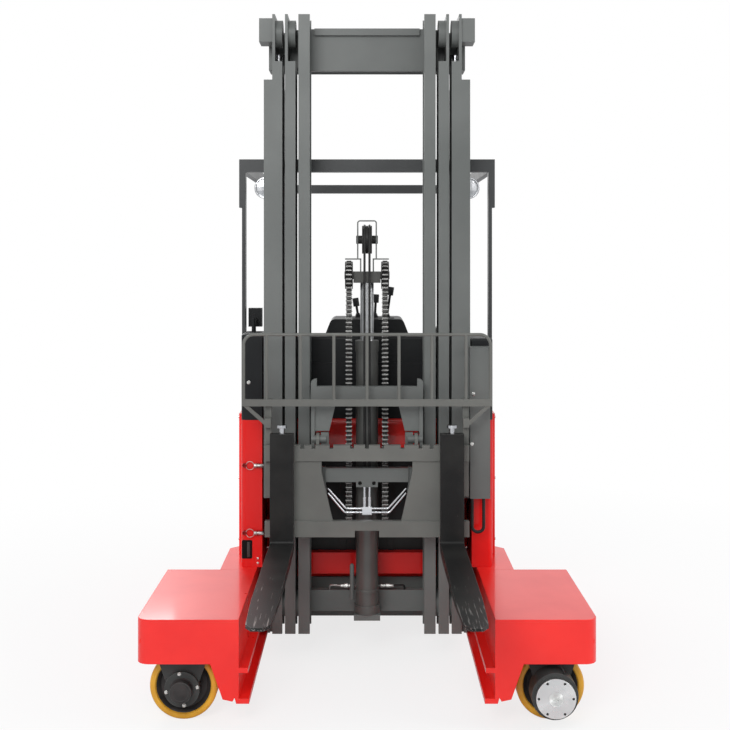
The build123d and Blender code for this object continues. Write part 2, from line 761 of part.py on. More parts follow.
# Free lift cylinder: a bored barrel on the inner mast's foot
with BuildPart() as free_lift_cylinder:
    disc_z(0, free_cyl_y, (free_cyl_bottom_z, free_cyl_top_z), free_cyl_d)
    disc_z(0, free_cyl_y, (free_cyl_bottom_z, free_cyl_bottom_z + 35), free_cyl_d + 14)
    disc_z(0, free_cyl_y, (300, 312), free_cyl_d + 8)
    disc_z(0, free_cyl_y, (free_cyl_top_z - 50, free_cyl_top_z), free_cyl_d + 6)
    disc_z(0, free_cyl_y, (free_cyl_bottom_z + 60, free_cyl_top_z + 1), free_rod_d + 2 * bore_gap,
           mode=Mode.SUBTRACT)
save(free_lift_cylinder, "free_lift_cylinder")

# Crosshead on the free lift rod, with the chain sheaves' axle
rod_foot_z = free_cyl_bottom_z + 320
with BuildPart() as crosshead:
    disc_z(0, free_cyl_y, (rod_foot_z, crosshead_z + 1), free_rod_d)
    block((-crosshead_half, crosshead_half), (free_cyl_y - crosshead_depth / 2, free_cyl_y + crosshead_depth / 2),
          (crosshead_z, crosshead_z + crosshead_height))
    disc_x((-sheave_x - 20, sheave_x + 20), free_cyl_y, sheave_z, sheave_axle_d)
save(crosshead, "crosshead")

# Flanged chain sheaves, and the twin-groove hose pulley with its axle in one
seat_r = sheave_seat_d / 2
flange_r = sheave_d / 2
rim_x = chain_pin_width / 2 + seat_gap
axle_r = sheave_axle_d / 2 + bore_gap
groove_r = hose_groove_d / 2
groove_x = (hose_x - hose_d / 2 - seat_gap, hose_x + hose_d / 2 + seat_gap)
with BuildPart() as pulleys:
    for side in (-1, 1):
        with BuildSketch(Plane(Vector(side * sheave_x, free_cyl_y, sheave_z), x_dir=(1, 0, 0), z_dir=(0, -1, 0))):
            with BuildLine():
                half = sheave_width / 2
                Polyline((-half, axle_r), (half, axle_r), (half, flange_r), (rim_x, flange_r), (rim_x, seat_r),
                         (-rim_x, seat_r), (-rim_x, flange_r), (-half, flange_r), close=True)
            make_face()
        revolve(axis=Axis((0, free_cyl_y, sheave_z), (1, 0, 0)))
    with BuildSketch(Plane(Vector(0, free_cyl_y, hose_pulley_z), x_dir=(1, 0, 0), z_dir=(0, -1, 0))):
        with BuildLine():
            half = hose_pulley_width / 2
            r = hose_pulley_d / 2
            Polyline((0, 0), (hose_axle_half, 0), (hose_axle_half, hose_axle_d / 2), (half, hose_axle_d / 2),
                     (half, r), (groove_x[1], r), (groove_x[1], groove_r), (groove_x[0], groove_r),
                     (groove_x[0], r), (0, r), close=True)
        make_face()
        mirror(about=Plane.YZ)
    revolve(axis=Axis((0, free_cyl_y, hose_pulley_z), (1, 0, 0)))
save(pulleys, "crosshead_pulleys")

# Lift chains: leaf chain over each sheave, with its pins standing out past the link plates
chain_r = seat_r + seat_gap + chain_thick / 2
chain_length = sheave_z - chain_end_z
with BuildPart() as lift_chains:
    for side in (-1, 1):
        with BuildSketch(Plane.YZ.offset(side * sheave_x - chain_width / 2)) as loop:
            with Locations((free_cyl_y, sheave_z)):
                Circle(chain_r + chain_thick / 2)
                Circle(chain_r - chain_thick / 2, mode=Mode.SUBTRACT)
            with Locations((free_cyl_y, sheave_z - chain_r)):
                Rectangle(3 * chain_r, 2 * chain_r, mode=Mode.SUBTRACT)
        extrude(amount=chain_width)
        for run_y in (free_cyl_y - chain_r, free_cyl_y + chain_r):
            with BuildSketch(Plane.XZ.offset(-(run_y + chain_thick / 2))):
                with Locations((side * sheave_x, chain_end_z + chain_length / 2)):
                    Rectangle(chain_width, chain_length)
                    with GridLocations(0, chain_pitch, 1, int(chain_length / chain_pitch)):
                        Rectangle(chain_pin_width, chain_link_height)
            extrude(amount=chain_thick)
save(lift_chains, "lift_chains")

# Hoses over the hose pulley, down in front of the cylinder and behind it
hose_r = groove_r + seat_gap + hose_d / 2
hose_end_z = carriage_bar_z + 10
with BuildPart() as lift_hoses:
    for x in (-hose_x, hose_x):
        with BuildLine() as hose_path:
            front_run = Line((x, free_cyl_y - hose_r, hose_end_z), (x, free_cyl_y - hose_r, hose_pulley_z))
            turn = ThreePointArc(front_run @ 1, (x, free_cyl_y, hose_pulley_z + hose_r),
                                 (x, free_cyl_y + hose_r, hose_pulley_z))
            Line(turn @ 1, (x, free_cyl_y + hose_r, hose_end_z))
        with BuildSketch(Plane(front_run @ 0, z_dir=(0, 0, 1))):
            Circle(hose_d / 2)
        sweep()
save(lift_hoses, "lift_hoses")

# Wire guard: a hoop past the hose pulley's axle, and feet that reach out over each chain
guard_y = free_cyl_y - hose_axle_d / 2 - guard_wire_d / 2 - seat_gap
stub_z = sheave_z + chain_r + chain_thick / 2 + guard_wire_d
with BuildPart() as pulley_guard:
    with BuildLine() as guard_path:
        FilletPolyline((-guard_half, guard_y, stub_z), (-guard_half, guard_y, guard_top_z),
                       (guard_half, guard_y, guard_top_z), (guard_half, guard_y, stub_z), radius=10)
    with BuildSketch(Plane(guard_path.line @ 0, z_dir=guard_path.line % 0)):
        Circle(guard_wire_d / 2)
    sweep()
    for side in (-1, 1):
        disc_x((side * (guard_foot_half - 3), side * guard_arm_half), guard_y, stub_z, guard_wire_d)
        disc_z(side * guard_foot_half, guard_y, (crosshead_z + crosshead_height, stub_z), guard_wire_d)
save(pulley_guard, "pulley_guard")

# Middle mast
with BuildPart() as mast_middle:
    rail_pair(middle_rail_x, middle_rail_width, (rail_bottom_z, mast_top_z), flange_cut_z)
    block((-middle_rail_out, middle_rail_out), (mast_back_y + run_gap, mast_back_y + run_gap + mast_tie_thick),
          (top_tie_z, top_tie_z + top_tie_height))
    block((-middle_rail_out, middle_rail_out), (mast_back_y + run_gap, mast_back_y + run_gap + mast_tie_thick),
          (foot_tie_z, foot_tie_z + foot_tie_height))
    for side, name in sides:
        x = (side * (middle_rail_out - rail_web), side * middle_rail_out)
        for z in (foot_tie_z + 4, top_tie_z + 4):
            block(x, (mast_back_y - 1, mast_back_y + run_gap + 1), (z, z + 80))
        disc_x((side * (middle_rail_x + 2), side * (middle_rail_out - rail_web)), rail_mid_y, guide_roller_z, roller_d)
        block((side * (middle_rail_out - 60), side * (main_cyl_x + 22)),
              (mast_back_y + run_gap + mast_tie_thick - 1, main_cyl_y + 24), (main_rod_top_z, main_rod_top_z + 24))
        disc_x((side * middle_rail_out, side * (outer_rail_out - rail_web - 4)), rail_mid_y,
               foot_tie_z + 60, roller_d)
save(mast_middle, "mast_middle")

# Main lift rods, fixed under brackets on the middle mast's top
with BuildPart() as lift_rods:
    for side in (-1, 1):
        disc_z(side * main_cyl_x, main_cyl_y, (main_cyl_bottom_z + 40, main_rod_top_z), main_rod_d)
save(lift_rods, "lift_rods")

# Outer mast: rails, a top tie behind the lift cylinders, side strips and top brackets
cheek_x = outer_rail_out + 13
outer_tie_y = (main_cyl_y + 40, main_cyl_y + 54)
with BuildPart() as mast_outer:
    rail_pair(outer_rail_x, outer_rail_width, (rail_bottom_z, mast_top_z), flange_cut_z)
    for side, name in sides:
        block((side * outer_rail_out, side * (outer_rail_out + side_strip)), (mast_front_y, mast_front_y + 8),
              side_strip_z)
        block((side * outer_rail_out, side * (outer_rail_out + top_bracket_width)),
              (mast_front_y + 10, mast_back_y - 30),
              (mast_top_z - top_bracket_drop[0], mast_top_z - top_bracket_drop[1]))
        disc_x((side * (outer_rail_x + 2), side * (outer_rail_out - rail_web)), rail_mid_y, guide_roller_z, roller_d)
        block((side * outer_rail_out, side * (cheek_x + 1)), (mast_back_y - 30, mast_back_y),
              (top_tie_z, top_tie_z + top_tie_height))
        block((side * cheek_x, side * (cheek_x + 12)), (mast_back_y - 30, outer_tie_y[1]),
              (top_tie_z, top_tie_z + top_tie_height))
        block((side * outer_rail_out, side * (outer_rail_out + 12)),
              (mast_front_y + 30, mast_back_y), (reach_plate_z[0] + 3, 700))
    block((-cheek_x - 1, cheek_x + 1), outer_tie_y, (top_tie_z, top_tie_z + top_tie_height))
save(mast_outer, "mast_outer")

# Reach frame: arms beside the rails, a cross tie, cylinder feet, and rollers in the legs' tracks
arm_x = outer_rail_out + 12
reach_tie_y = (60, 74)
with BuildPart() as reach_frame:
    for side, name in sides:
        block((side * arm_x, side * (arm_x + reach_plate)), (mast_front_y + 24, reach_back_y), reach_plate_z)
        for y in reach_roller_y:
            disc_x((side * (arm_x + reach_plate), side * (leg_inner_x - 3)), y,
                   track_floor_z + track_roller_d / 2 + seat_gap, track_roller_d)
        block((side * (main_cyl_x - 36), side * (arm_x + reach_plate)), (main_cyl_y - 32, reach_tie_y[0]),
              (reach_plate_z[1] - 14, main_cyl_bottom_z))
    block((-arm_x - 1, arm_x + 1), reach_tie_y, (reach_plate_z[0], reach_plate_z[1]))
    disc_y(0, (reach_tie_y[1] - 1, reach_tie_y[1] + reach_stub), reach_cyl_z - reach_cyl_drop, reach_cyl_d)
save(reach_frame, "reach_frame")

# Barrels of the main lift cylinders
with BuildPart() as lift_cylinders:
    for side in (-1, 1):
        disc_z(side * main_cyl_x, main_cyl_y, (main_cyl_bottom_z, main_cyl_top_z), main_cyl_d)
        disc_z(side * main_cyl_x, main_cyl_y, (main_cyl_top_z - 60, main_cyl_top_z), main_cyl_d + 4)
        disc_z(side * main_cyl_x, main_cyl_y, (main_cyl_bottom_z + 30, main_cyl_top_z + 1),
               main_rod_d + 2 * bore_gap, mode=Mode.SUBTRACT)
save(lift_cylinders, "lift_cylinders")

# Hose cover beside the right rail: a folded sheet box on the side strip, open below
cover_back_y = mast_front_y
with BuildPart() as hose_cover:
    block(cover_x, (cover_back_y - cover_depth, cover_back_y), cover_z)
    block((cover_x[0] + cover_sheet, cover_x[1] - cover_sheet),
          (cover_back_y - cover_depth + cover_sheet, cover_back_y + 1),
          (cover_z[0] - 1, cover_z[1] - cover_sheet), mode=Mode.SUBTRACT)
save(hose_cover, "hose_cover")

# Hose that loops down out of the cover and back up, against its front sheet
with BuildPart() as cover_hose:
    loop_y = cover_back_y - cover_depth + cover_sheet + loop_hose_d / 2 + seat_gap
    with BuildLine() as loop_path:
        FilletPolyline((loop_x[0], loop_y, cover_z[0] + 60), (loop_x[0], loop_y, loop_foot_z),
                       (loop_x[1], loop_y, loop_foot_z), (loop_x[1], loop_y, cover_z[0] + 60), radius=24)
    with BuildSketch(Plane(loop_path.line @ 0, z_dir=loop_path.line % 0)):
        Circle(loop_hose_d / 2)
    sweep()
save(cover_hose, "cover_hose")

# Reach cylinder: barrel on the body, rod on the reach frame
reach_cyl_axis_z = reach_cyl_z - reach_cyl_drop
reach_cyl_front_y = reach_tie_y[1] + reach_stub + 20
reach_cyl_back_y = reach_cyl_front_y + reach_travel + reach_cyl_spare
with BuildPart() as reach_cylinder:
    disc_y(0, (reach_cyl_front_y, reach_cyl_back_y), reach_cyl_axis_z, reach_cyl_d)
    disc_y(0, (reach_cyl_front_y - 1, reach_cyl_back_y - 20), reach_cyl_axis_z, reach_rod_d + 2 * bore_gap,
           mode=Mode.SUBTRACT)
    block((-reach_bracket_half, reach_bracket_half),
          (leg_back_y + body_wall, leg_back_y + body_wall + reach_bracket_thick),
          (body_base_z, reach_cyl_axis_z))
    disc_y(0, (reach_cyl_front_y - 1, reach_cyl_back_y - 20), reach_cyl_axis_z, reach_rod_d + 2 * bore_gap,
           mode=Mode.SUBTRACT)
save(reach_cylinder, "reach_cylinder")

with BuildPart() as reach_rod:
    disc_y(0, (reach_tie_y[1] + reach_stub, reach_cyl_back_y - 30), reach_cyl_axis_z, reach_rod_d)
save(reach_rod, "reach_rod")

# Front columns beside the mast, and the plastic cupboards on them
for side, name, cap_top_z in ((-1, "left", left_cap_top_z), (1, "right", right_cap_top_z)):
    column_x = side * (column_inner_x + column_outer_x) / 2
    column_y = (column_front_y + cab_front_y) / 2
    with BuildPart() as column:
        with BuildSketch(Plane.XY.offset(pod_top_z)) as outline:
            with Locations((column_x, column_y)):
                Rectangle(column_outer_x - column_inner_x, cab_front_y - column_front_y)
            fillet(outline.vertices().group_by(Axis.Y)[0].sort_by(Axis.X)[-1 if side > 0 else 0],
                   radius=column_corner_r)
        extrude(amount=body_top_z - pod_top_z)
    save(column, f"column_{name}")
    with BuildPart() as cupboard:
        with BuildSketch(Plane.XY.offset(body_top_z)) as outline:
            with Locations((column_x, column_y)):
                Rectangle(column_outer_x - column_inner_x, cab_front_y - column_front_y)
            fillet(outline.vertices().group_by(Axis.Y)[0].sort_by(Axis.X)[-1 if side > 0 else 0],
                   radius=column_corner_r)
        extrude(amount=cap_top_z - body_top_z)
        fillet(cupboard.faces().sort_by(Axis.Z)[-1].edges(), radius=cap_edge_r)
    save(cupboard, f"cupboard_{name}")

# Latch pins on the left column
with BuildPart() as latch_pins:
    for z in (859, 562):
        disc_x((-column_inner_x - 88, -column_inner_x + 8), column_front_y - 12, z, 16)
        for x in (-538, -500):
            block((x - 8, x + 8), (column_front_y - 22, column_front_y), (z - 14, z + 14))
save(latch_pins, "latch_pins")

# Cross beam between the legs, with the tray that holds the battery
tray_front_y = main_cyl_y + 48
with BuildPart() as cross_beam:
    block((-350, 350), (mast_back_y + 32, tray_front_y + 1), (cross_beam_z, cross_beam_z + cross_beam_height))
    block((-leg_inner_x, leg_inner_x), (tray_front_y, tray_front_y + 40),
          (cross_beam_z, pod_top_z - pod_cover_thick))
    block((-column_inner_x, column_inner_x), (tray_front_y, tray_front_y + 40),
          (cross_beam_z, cross_beam_z + cross_beam_height))
    block((-leg_inner_x, leg_inner_x), (tray_front_y + 39, bulkhead_y - seat_gap), (cross_beam_z, cross_beam_z + 16))
save(cross_beam, "cross_beam")

# Battery, a steel box that is open to view from the front
battery_z = cross_beam_z + cross_beam_height
with BuildPart() as battery:
    block((-battery_half, battery_half), (tray_front_y, battery_back_y), (battery_z, battery_z + battery_height))
    for x in (-330, -110, 110, 330):
        block((x - 14, x + 14), (tray_front_y - 6, tray_front_y), (battery_z, battery_z + battery_height - 20))
save(battery, "battery")

with BuildPart() as battery_lid:
    lid_z = battery_z + battery_height
    block((-column_inner_x + 4, column_inner_x - 4), (tray_front_y - 6, bulkhead_y - seat_gap), (lid_z, lid_top_z))
    fillet(battery_lid.edges().filter_by(Axis.X).group_by(Axis.Y)[0].group_by(Axis.Z)[-1], radius=lid_edge_r)
save(battery_lid, "battery_lid")

# Body shell: folded sheet walls with rounded rear corners and an entry at the rear
with BuildPart() as body_shell:
    with BuildSketch(Plane.XY.offset(body_base_z)) as plan:
        with Locations((0, (cab_front_y + rear_y) / 2)):
            Rectangle(2 * body_half, rear_y - cab_front_y)
        fillet(plan.vertices().group_by(Axis.Y)[-1], radius=body_corner_r)
        offset(amount=-body_wall, mode=Mode.SUBTRACT)
    extrude(amount=body_top_z - body_base_z)
    block((-body_half - 1, body_half + 1), (cab_front_y - 1, leg_back_y + seat_gap),
          (body_base_z - 1, pod_top_z), mode=Mode.SUBTRACT)
    block((-column_inner_x, column_inner_x), (cab_front_y - 1, cab_front_y + body_wall + 1),
          (pod_top_z - 1, body_top_z + 1), mode=Mode.SUBTRACT)
    block(entry_x, (rear_y - body_wall - 1, rear_y + 1), (entry_sill_z, body_top_z + 1), mode=Mode.SUBTRACT)
    block((-body_half + body_wall - 1, body_half - body_wall + 1),
          (leg_back_y + seat_gap, leg_back_y + body_wall), (body_base_z, cross_beam_z))
    block((-body_half + body_wall - 1, body_half - body_wall + 1),
          (bulkhead_y, bulkhead_y + bulkhead_thick), (cross_beam_z, body_top_z + 60))
    block((-cab_inner_x - 1, cab_inner_x + 1), (drive_y - drive_plate_half, drive_y + drive_plate_half),
          (drive_plate_z, drive_plate_z + drive_plate_thick))
    disc_z(0, drive_y, (drive_plate_z - 1, drive_plate_z + drive_plate_thick + 1), motor_d + 2 * run_gap,
           mode=Mode.SUBTRACT)
    disc_y(0, (leg_back_y, leg_back_y + body_wall + 1), reach_cyl_axis_z, reach_cyl_d + 2 * run_gap,
           mode=Mode.SUBTRACT)
save(body_shell, "body_shell")

# Ballast block in the rear
with BuildPart() as counterweight:
    block((-ballast_half, ballast_half), (rear_y - body_wall - ballast_thick, rear_y - body_wall),
          (body_base_z + ballast_lift, floor_z))
save(counterweight, "counterweight")

# Cab floor over the drive unit
with BuildPart() as cab_floor:
    with BuildSketch(Plane.XY.offset(floor_z)) as plan:
        with Locations((0, (bulkhead_y + bulkhead_thick + rear_y - body_wall) / 2)):
            Rectangle(2 * (body_half - body_wall), rear_y - body_wall - bulkhead_y - bulkhead_thick)
        fillet(plan.vertices().group_by(Axis.Y)[-1], radius=body_corner_r - body_wall)
    extrude(amount=floor_thick)
save(cab_floor, "cab_floor")

# Cowl across the front of the cab, from column to column, with a ledge half-way up
with BuildPart() as cab_cowl:
    cowl_back_y = cowl_front_y + cowl_thick
    with BuildSketch(Plane.YZ.offset(-column_inner_x + run_gap)) as side_view:
        with BuildLine():
            Polyline((cowl_front_y, lid_top_z), (cowl_front_y, cowl_ledge_z),
                     (cowl_front_y + cowl_ledge, cowl_ledge_z), (cowl_front_y + cowl_ledge, cowl_top_z),
                     (cowl_back_y, cowl_top_z), (cowl_back_y, lid_top_z), close=True)
        make_face()
        fillet(side_view.vertices().group_by(Axis.Y)[-1], radius=cowl_edge_r)
    extrude(amount=2 * (column_inner_x - run_gap))
save(cab_cowl, "cab_cowl")

# Control console behind the cowl, with a rounded hood over the levers' feet
with BuildPart() as console:
    with BuildSketch(Plane.XZ.offset(-(cowl_back_y + hood_length))) as front_view:
        with BuildLine():
            Polyline((-hood_foot_half, lid_top_z), (-hood_shoulder_half, hood_shoulder_z),
                     (-hood_top_half, hood_top_z), (hood_top_half, hood_top_z),
                     (hood_shoulder_half, hood_shoulder_z), (hood_foot_half, lid_top_z), close=True)
        make_face()
        fillet(front_view.vertices().group_by(Axis.Y)[-1], radius=hood_edge_r)
    extrude(amount=hood_length - seat_gap)
save(console, "control_console")

# Levers: foot X, lean in degrees and top Z of each, with a grip on every stem
lever_table = ((-42, -9, 1583), (38, 3, 1600), (96, 8, 1637))
with BuildPart() as levers:
    for foot_x, lean, top_z in lever_table:
        with Locations(Location((foot_x, lever_y, hood_top_z), (0, lean, 0))):
            stem = top_z - hood_top_z
            Cylinder(lever_d / 2, stem, align=(Align.CENTER, Align.CENTER, Align.MIN))
            with Locations((0, 0, stem - knob_height)):
                Cylinder(knob_d / 2, knob_height, align=(Align.CENTER, Align.CENTER, Align.MIN))
    block((-60, 120), (lever_y - 60, lever_y + 60), (hood_top_z - 20, hood_top_z), mode=Mode.SUBTRACT)
save(levers, "control_levers")

# Dash at the right of the cab, and the steering wheel on its column
floor_top_z = floor_z + floor_thick
with BuildPart() as dash:
    with BuildSketch(Plane.XZ.offset(-dash_end_y)):
        with BuildLine():
            Polyline((dash_inner_x, floor_top_z + dash_foot_rise), (cab_inner_x, floor_top_z),
                     (cab_inner_x, dash_back_z), (dash_ridge_x, dash_ridge_z), (dash_inner_x, dash_nose_z),
                     close=True)
        make_face()
    extrude(amount=dash_end_y - bulkhead_y - bulkhead_thick)
save(dash, "dash")

wheel_plane = Plane((steer_x, steer_y, steer_z), x_dir=(0, 1, 0)).rotated((0, -steer_lean, 0))
with BuildPart() as steering_wheel:
    with BuildSketch(wheel_plane):
        Circle(steer_hub_d / 2)
        Rectangle(steer_d - steer_rim_d, steer_spoke_width)
    extrude(amount=steer_spoke_thick)
    rim_centre = wheel_plane.origin + wheel_plane.x_dir * (steer_d - steer_rim_d) / 2
    with BuildSketch(Plane(rim_centre, x_dir=wheel_plane.x_dir, z_dir=-wheel_plane.y_dir)):
        RegularPolygon(steer_rim_d / 2, 8)
    revolve(axis=Axis(wheel_plane.origin, wheel_plane.z_dir))
    with BuildSketch(wheel_plane):
        Circle(steer_column_d / 2)
    extrude(amount=-(steer_z - dash_nose_z))
    add(dash.part, mode=Mode.SUBTRACT)
save(steering_wheel, "steering_wheel")

# Seat: a base box, a cushion and a back that faces the dash
seat_y = (seat_mid_y - seat_width / 2, seat_mid_y + seat_width / 2)
seat_back_x = -cab_inner_x + seat_back_gap
cushion_z = seat_base_top_z + seat_gap
with BuildPart() as seat_base:
    block(seat_base_x, (seat_mid_y - seat_base_depth / 2, seat_mid_y + seat_base_depth / 2),
          (floor_top_z, seat_base_top_z))
save(seat_base, "seat_base")

with BuildPart() as seat_cushion:
    block((seat_back_x + seat_back_thick + seat_gap, seat_front_x), seat_y,
          (cushion_z, cushion_z + seat_cushion_thick))
    fillet(seat_cushion.edges().filter_by(Axis.Z), radius=seat_corner_r)
save(seat_cushion, "seat_cushion")

with BuildPart() as seat_back:
    block((seat_back_x, seat_back_x + seat_back_thick), seat_y, (cushion_z, cushion_z + seat_back_height))
    fillet(seat_back.edges().filter_by(Axis.X), radius=seat_back_r)
save(seat_back, "seat_back")

# Display on a stalk that stands on the left cupboard
with BuildPart() as display:
    half = display_size[0] / 2
    stalk_top_z = display_z + display_size[2] / 2
    block((display_x - half, display_x + half), (display_y, display_y + display_size[1]),
          (display_z, display_z + display_size[2]))
    disc_z(display_x, 0, (left_cap_top_z, stalk_top_z), stalk_d)
    disc_y(display_x, (-stalk_d / 4, display_y + 1), stalk_top_z - stalk_d / 2, stalk_d)
save(display, "display")

# Overhead guard: slim posts under thicker heads, side bars, a front bar and a lower rear bar
with BuildPart() as overhead_guard:
    for side, name in sides:
        slim_x = (side * (body_half - guard_head), side * (body_half - guard_head + guard_post))
        head_x = (side * (body_half - guard_head), side * body_half)
        for y in (cab_front_y, guard_rear_y - guard_post_depth):
            block(slim_x, (y, y + guard_post_depth), (body_top_z, guard_head_z + 1))
            block(head_x, (y, y + guard_post_depth), (guard_head_z, guard_top - 1))
        block(head_x, (cab_front_y, guard_rear_y), (guard_top - guard_bar_height, guard_top))
    block((-body_half, body_half), (cab_front_y, cab_front_y + guard_post_depth),
          (guard_top - guard_bar_height, guard_top))
    block((-body_half + 1, body_half - 1), (guard_rear_y - guard_post_depth, guard_rear_y - 1),
          (guard_top - rear_bar_drop - rear_bar_height, guard_top - rear_bar_drop))
save(overhead_guard, "overhead_guard")

# Work lamps under the guard's front bar: a rim, a tapering bowl and a stem
with BuildPart() as work_lamps:
    lamp_front_y = cab_front_y + 10
    for side, name in sides:
        with BuildSketch(Plane((side * lamp_x, lamp_front_y, lamp_z), x_dir=(0, 1, 0), z_dir=(1, 0, 0))):
            with BuildLine():
                Polyline((6, 0), (6, lamp_d / 2 - 8), (0, lamp_d / 2 - 6), (0, lamp_d / 2),
                         (lamp_depth * 0.4, lamp_d / 2), (lamp_depth, lamp_d / 4), (lamp_depth, 0), close=True)
            make_face()
        revolve(axis=Axis((side * lamp_x, lamp_front_y, lamp_z), (0, 1, 0)))
        block((side * lamp_x - lamp_stem / 2, side * lamp_x + lamp_stem / 2),
              (lamp_front_y + 4, lamp_front_y + 20), (lamp_z + lamp_d / 2 - 6, guard_top - guard_bar_height))
save(work_lamps, "work_lamps")

# Drive unit: motor, slewing flange and gear arm, turned as one by the steering
with BuildPart() as drive_unit:
    flange_top_z = drive_plate_z - seat_gap
    disc_z(0, drive_y, (flange_top_z - drive_flange_thick, flange_top_z), drive_flange_d)
    disc_z(0, drive_y, (flange_top_z - 1, floor_z - run_gap), motor_d)
    arm_out = -drive_wheel_width / 2 - run_gap
    arm = (arm_out - drive_arm_thick, arm_out)
    block(arm, (drive_y - drive_arm_half, drive_y + drive_arm_half),
          (drive_wheel_z, flange_top_z - drive_flange_thick + 1))
    disc_x(arm, drive_y, drive_wheel_z, drive_hub_d)
    disc_x((arm_out - 1, drive_wheel_width / 2 - 20), drive_y, drive_wheel_z, hub_bore_d - 2 * bore_gap)
save(drive_unit, "drive_unit")

with BuildPart() as drive_wheel:
    half = drive_wheel_width / 2
    outer_r = drive_wheel_d / 2
    rim_r = outer_r - drive_tyre_thick
    bore_r = hub_bore_d / 2
    with BuildSketch(Plane((0, drive_y, drive_wheel_z), x_dir=(1, 0, 0), z_dir=(0, -1, 0))):
        with BuildLine():
            Polyline((-half, bore_r), (half - 20, bore_r), (half - 20, rim_r - 8), (half, rim_r),
                     (half, outer_r - 12), (half - 12, outer_r), (12 - half, outer_r), (-half, outer_r - 12),
                     close=True)
        make_face()
    revolve(axis=Axis((0, drive_y, drive_wheel_z), (1, 0, 0)))
save(drive_wheel, "drive_wheel")
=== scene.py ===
import math

import bpy
import numpy as np
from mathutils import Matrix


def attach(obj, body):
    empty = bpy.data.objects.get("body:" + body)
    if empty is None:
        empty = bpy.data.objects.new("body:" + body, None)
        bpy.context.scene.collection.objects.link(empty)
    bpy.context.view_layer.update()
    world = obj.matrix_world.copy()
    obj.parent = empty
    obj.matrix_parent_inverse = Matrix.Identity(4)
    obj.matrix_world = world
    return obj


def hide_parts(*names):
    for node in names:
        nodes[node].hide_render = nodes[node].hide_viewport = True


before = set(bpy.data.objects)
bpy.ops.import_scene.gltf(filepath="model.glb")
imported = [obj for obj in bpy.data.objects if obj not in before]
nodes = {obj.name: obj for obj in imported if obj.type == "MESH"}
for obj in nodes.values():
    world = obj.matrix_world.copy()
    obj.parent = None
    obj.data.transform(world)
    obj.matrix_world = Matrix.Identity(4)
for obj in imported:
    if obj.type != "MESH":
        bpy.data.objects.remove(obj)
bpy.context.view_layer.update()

# The studio. A pale floor that fades to white, broad lamps in front, at the right and behind, and a level
# camera close to the truck's centre line, 1.79 m up, as in the photograph.
camera_distance = 5.127
camera_height = 1.79
focal_pixels = 1120.0
picture_pixels = 730.0
vanishing_x = 367.0
horizon_y = 255.0
scene = bpy.context.scene
scene.view_settings.view_transform = "Standard"
camera_data = bpy.data.cameras.new("camera")
camera_data.sensor_width = 36.0
camera_data.lens = 36.0 * focal_pixels / picture_pixels
camera_data.shift_x = -(vanishing_x - picture_pixels / 2) / picture_pixels
camera_data.shift_y = (horizon_y - picture_pixels / 2) / picture_pixels
camera = bpy.data.objects.new("camera", camera_data)
camera.location = (0.0, -camera_distance, camera_height)
camera.rotation_euler = (math.radians(90), 0, 0)
scene.collection.objects.link(camera)
scene.camera = camera


def node(tree, kind, constants=None, **settings):
    """A shader node of a kind, with its settings and the constants on its sockets."""
    made = tree.nodes.new("ShaderNode" + kind)
    for label, value in settings.items():
        setattr(made, label, value)
    for label, value in (constants or {}).items():
        made.inputs[label].default_value = value
    return made


def join(tree, pairs):
    """Links from the first socket of each pair to the second."""
    for source, target in pairs:
        tree.links.new(source, target)


world = bpy.data.worlds.new("studio")
scene.world = world
world.use_nodes = True
tree = world.node_tree
tree.nodes.clear()
rays = node(tree, "LightPath")
seen = node(tree, "Math", operation="MAXIMUM")
seen_glass = node(tree, "Math", operation="MAXIMUM")
sky_light = node(tree, "Background", {"Color": (0.95, 0.97, 1.0, 1), "Strength": 0.55})
backdrop = node(tree, "Background", {"Color": (1, 1, 1, 1), "Strength": 1.0})
choose = node(tree, "MixShader")
world_out = node(tree, "OutputWorld")
join(tree, [
    (rays.outputs["Is Camera Ray"], seen.inputs[0]),
    (rays.outputs["Is Glossy Ray"], seen.inputs[1]),
    (seen.outputs[0], seen_glass.inputs[0]),
    (rays.outputs["Is Transmission Ray"], seen_glass.inputs[1]),
    (seen_glass.outputs[0], choose.inputs["Fac"]),
    (sky_light.outputs[0], choose.inputs[1]),
    (backdrop.outputs[0], choose.inputs[2]),
    (choose.outputs[0], world_out.inputs["Surface"])])

floor_half = 30.0
floor_mesh = bpy.data.meshes.new("floor")
floor_mesh.from_pydata([(-floor_half, -floor_half, 0), (floor_half, -floor_half, 0),
                        (floor_half, floor_half, 0), (-floor_half, floor_half, 0)], [], [(0, 1, 2, 3)])
floor = bpy.data.objects.new("floor", floor_mesh)
scene.collection.objects.link(floor)
floor_paint = bpy.data.materials.new("floor")
floor_paint.use_nodes = True
tree = floor_paint.node_tree
tree.nodes.clear()
place = node(tree, "TexCoord")
reach = node(tree, "VectorMath", operation="LENGTH")
fade = node(tree, "MapRange", {"From Min": 1.0, "From Max": 4.0, "To Min": 0.78})
matt = node(tree, "BsdfDiffuse", {"Color": (0.9, 0.9, 0.9, 1)})
glow = node(tree, "Emission", {"Color": (1, 1, 1, 1)})
rays = node(tree, "LightPath")
far = node(tree, "Math", operation="MULTIPLY")
blend = node(tree, "MixShader")
floor_out = node(tree, "OutputMaterial")
join(tree, [
    (place.outputs["Object"], reach.inputs[0]),
    (reach.outputs["Value"], fade.inputs["Value"]),
    (fade.outputs["Result"], far.inputs[0]),
    (rays.outputs["Is Camera Ray"], far.inputs[1]),
    (far.outputs[0], blend.inputs["Fac"]),
    (matt.outputs[0], blend.inputs[1]),
    (glow.outputs[0], blend.inputs[2]),
    (blend.outputs[0], floor_out.inputs["Surface"])])
floor_mesh.materials.append(floor_paint)

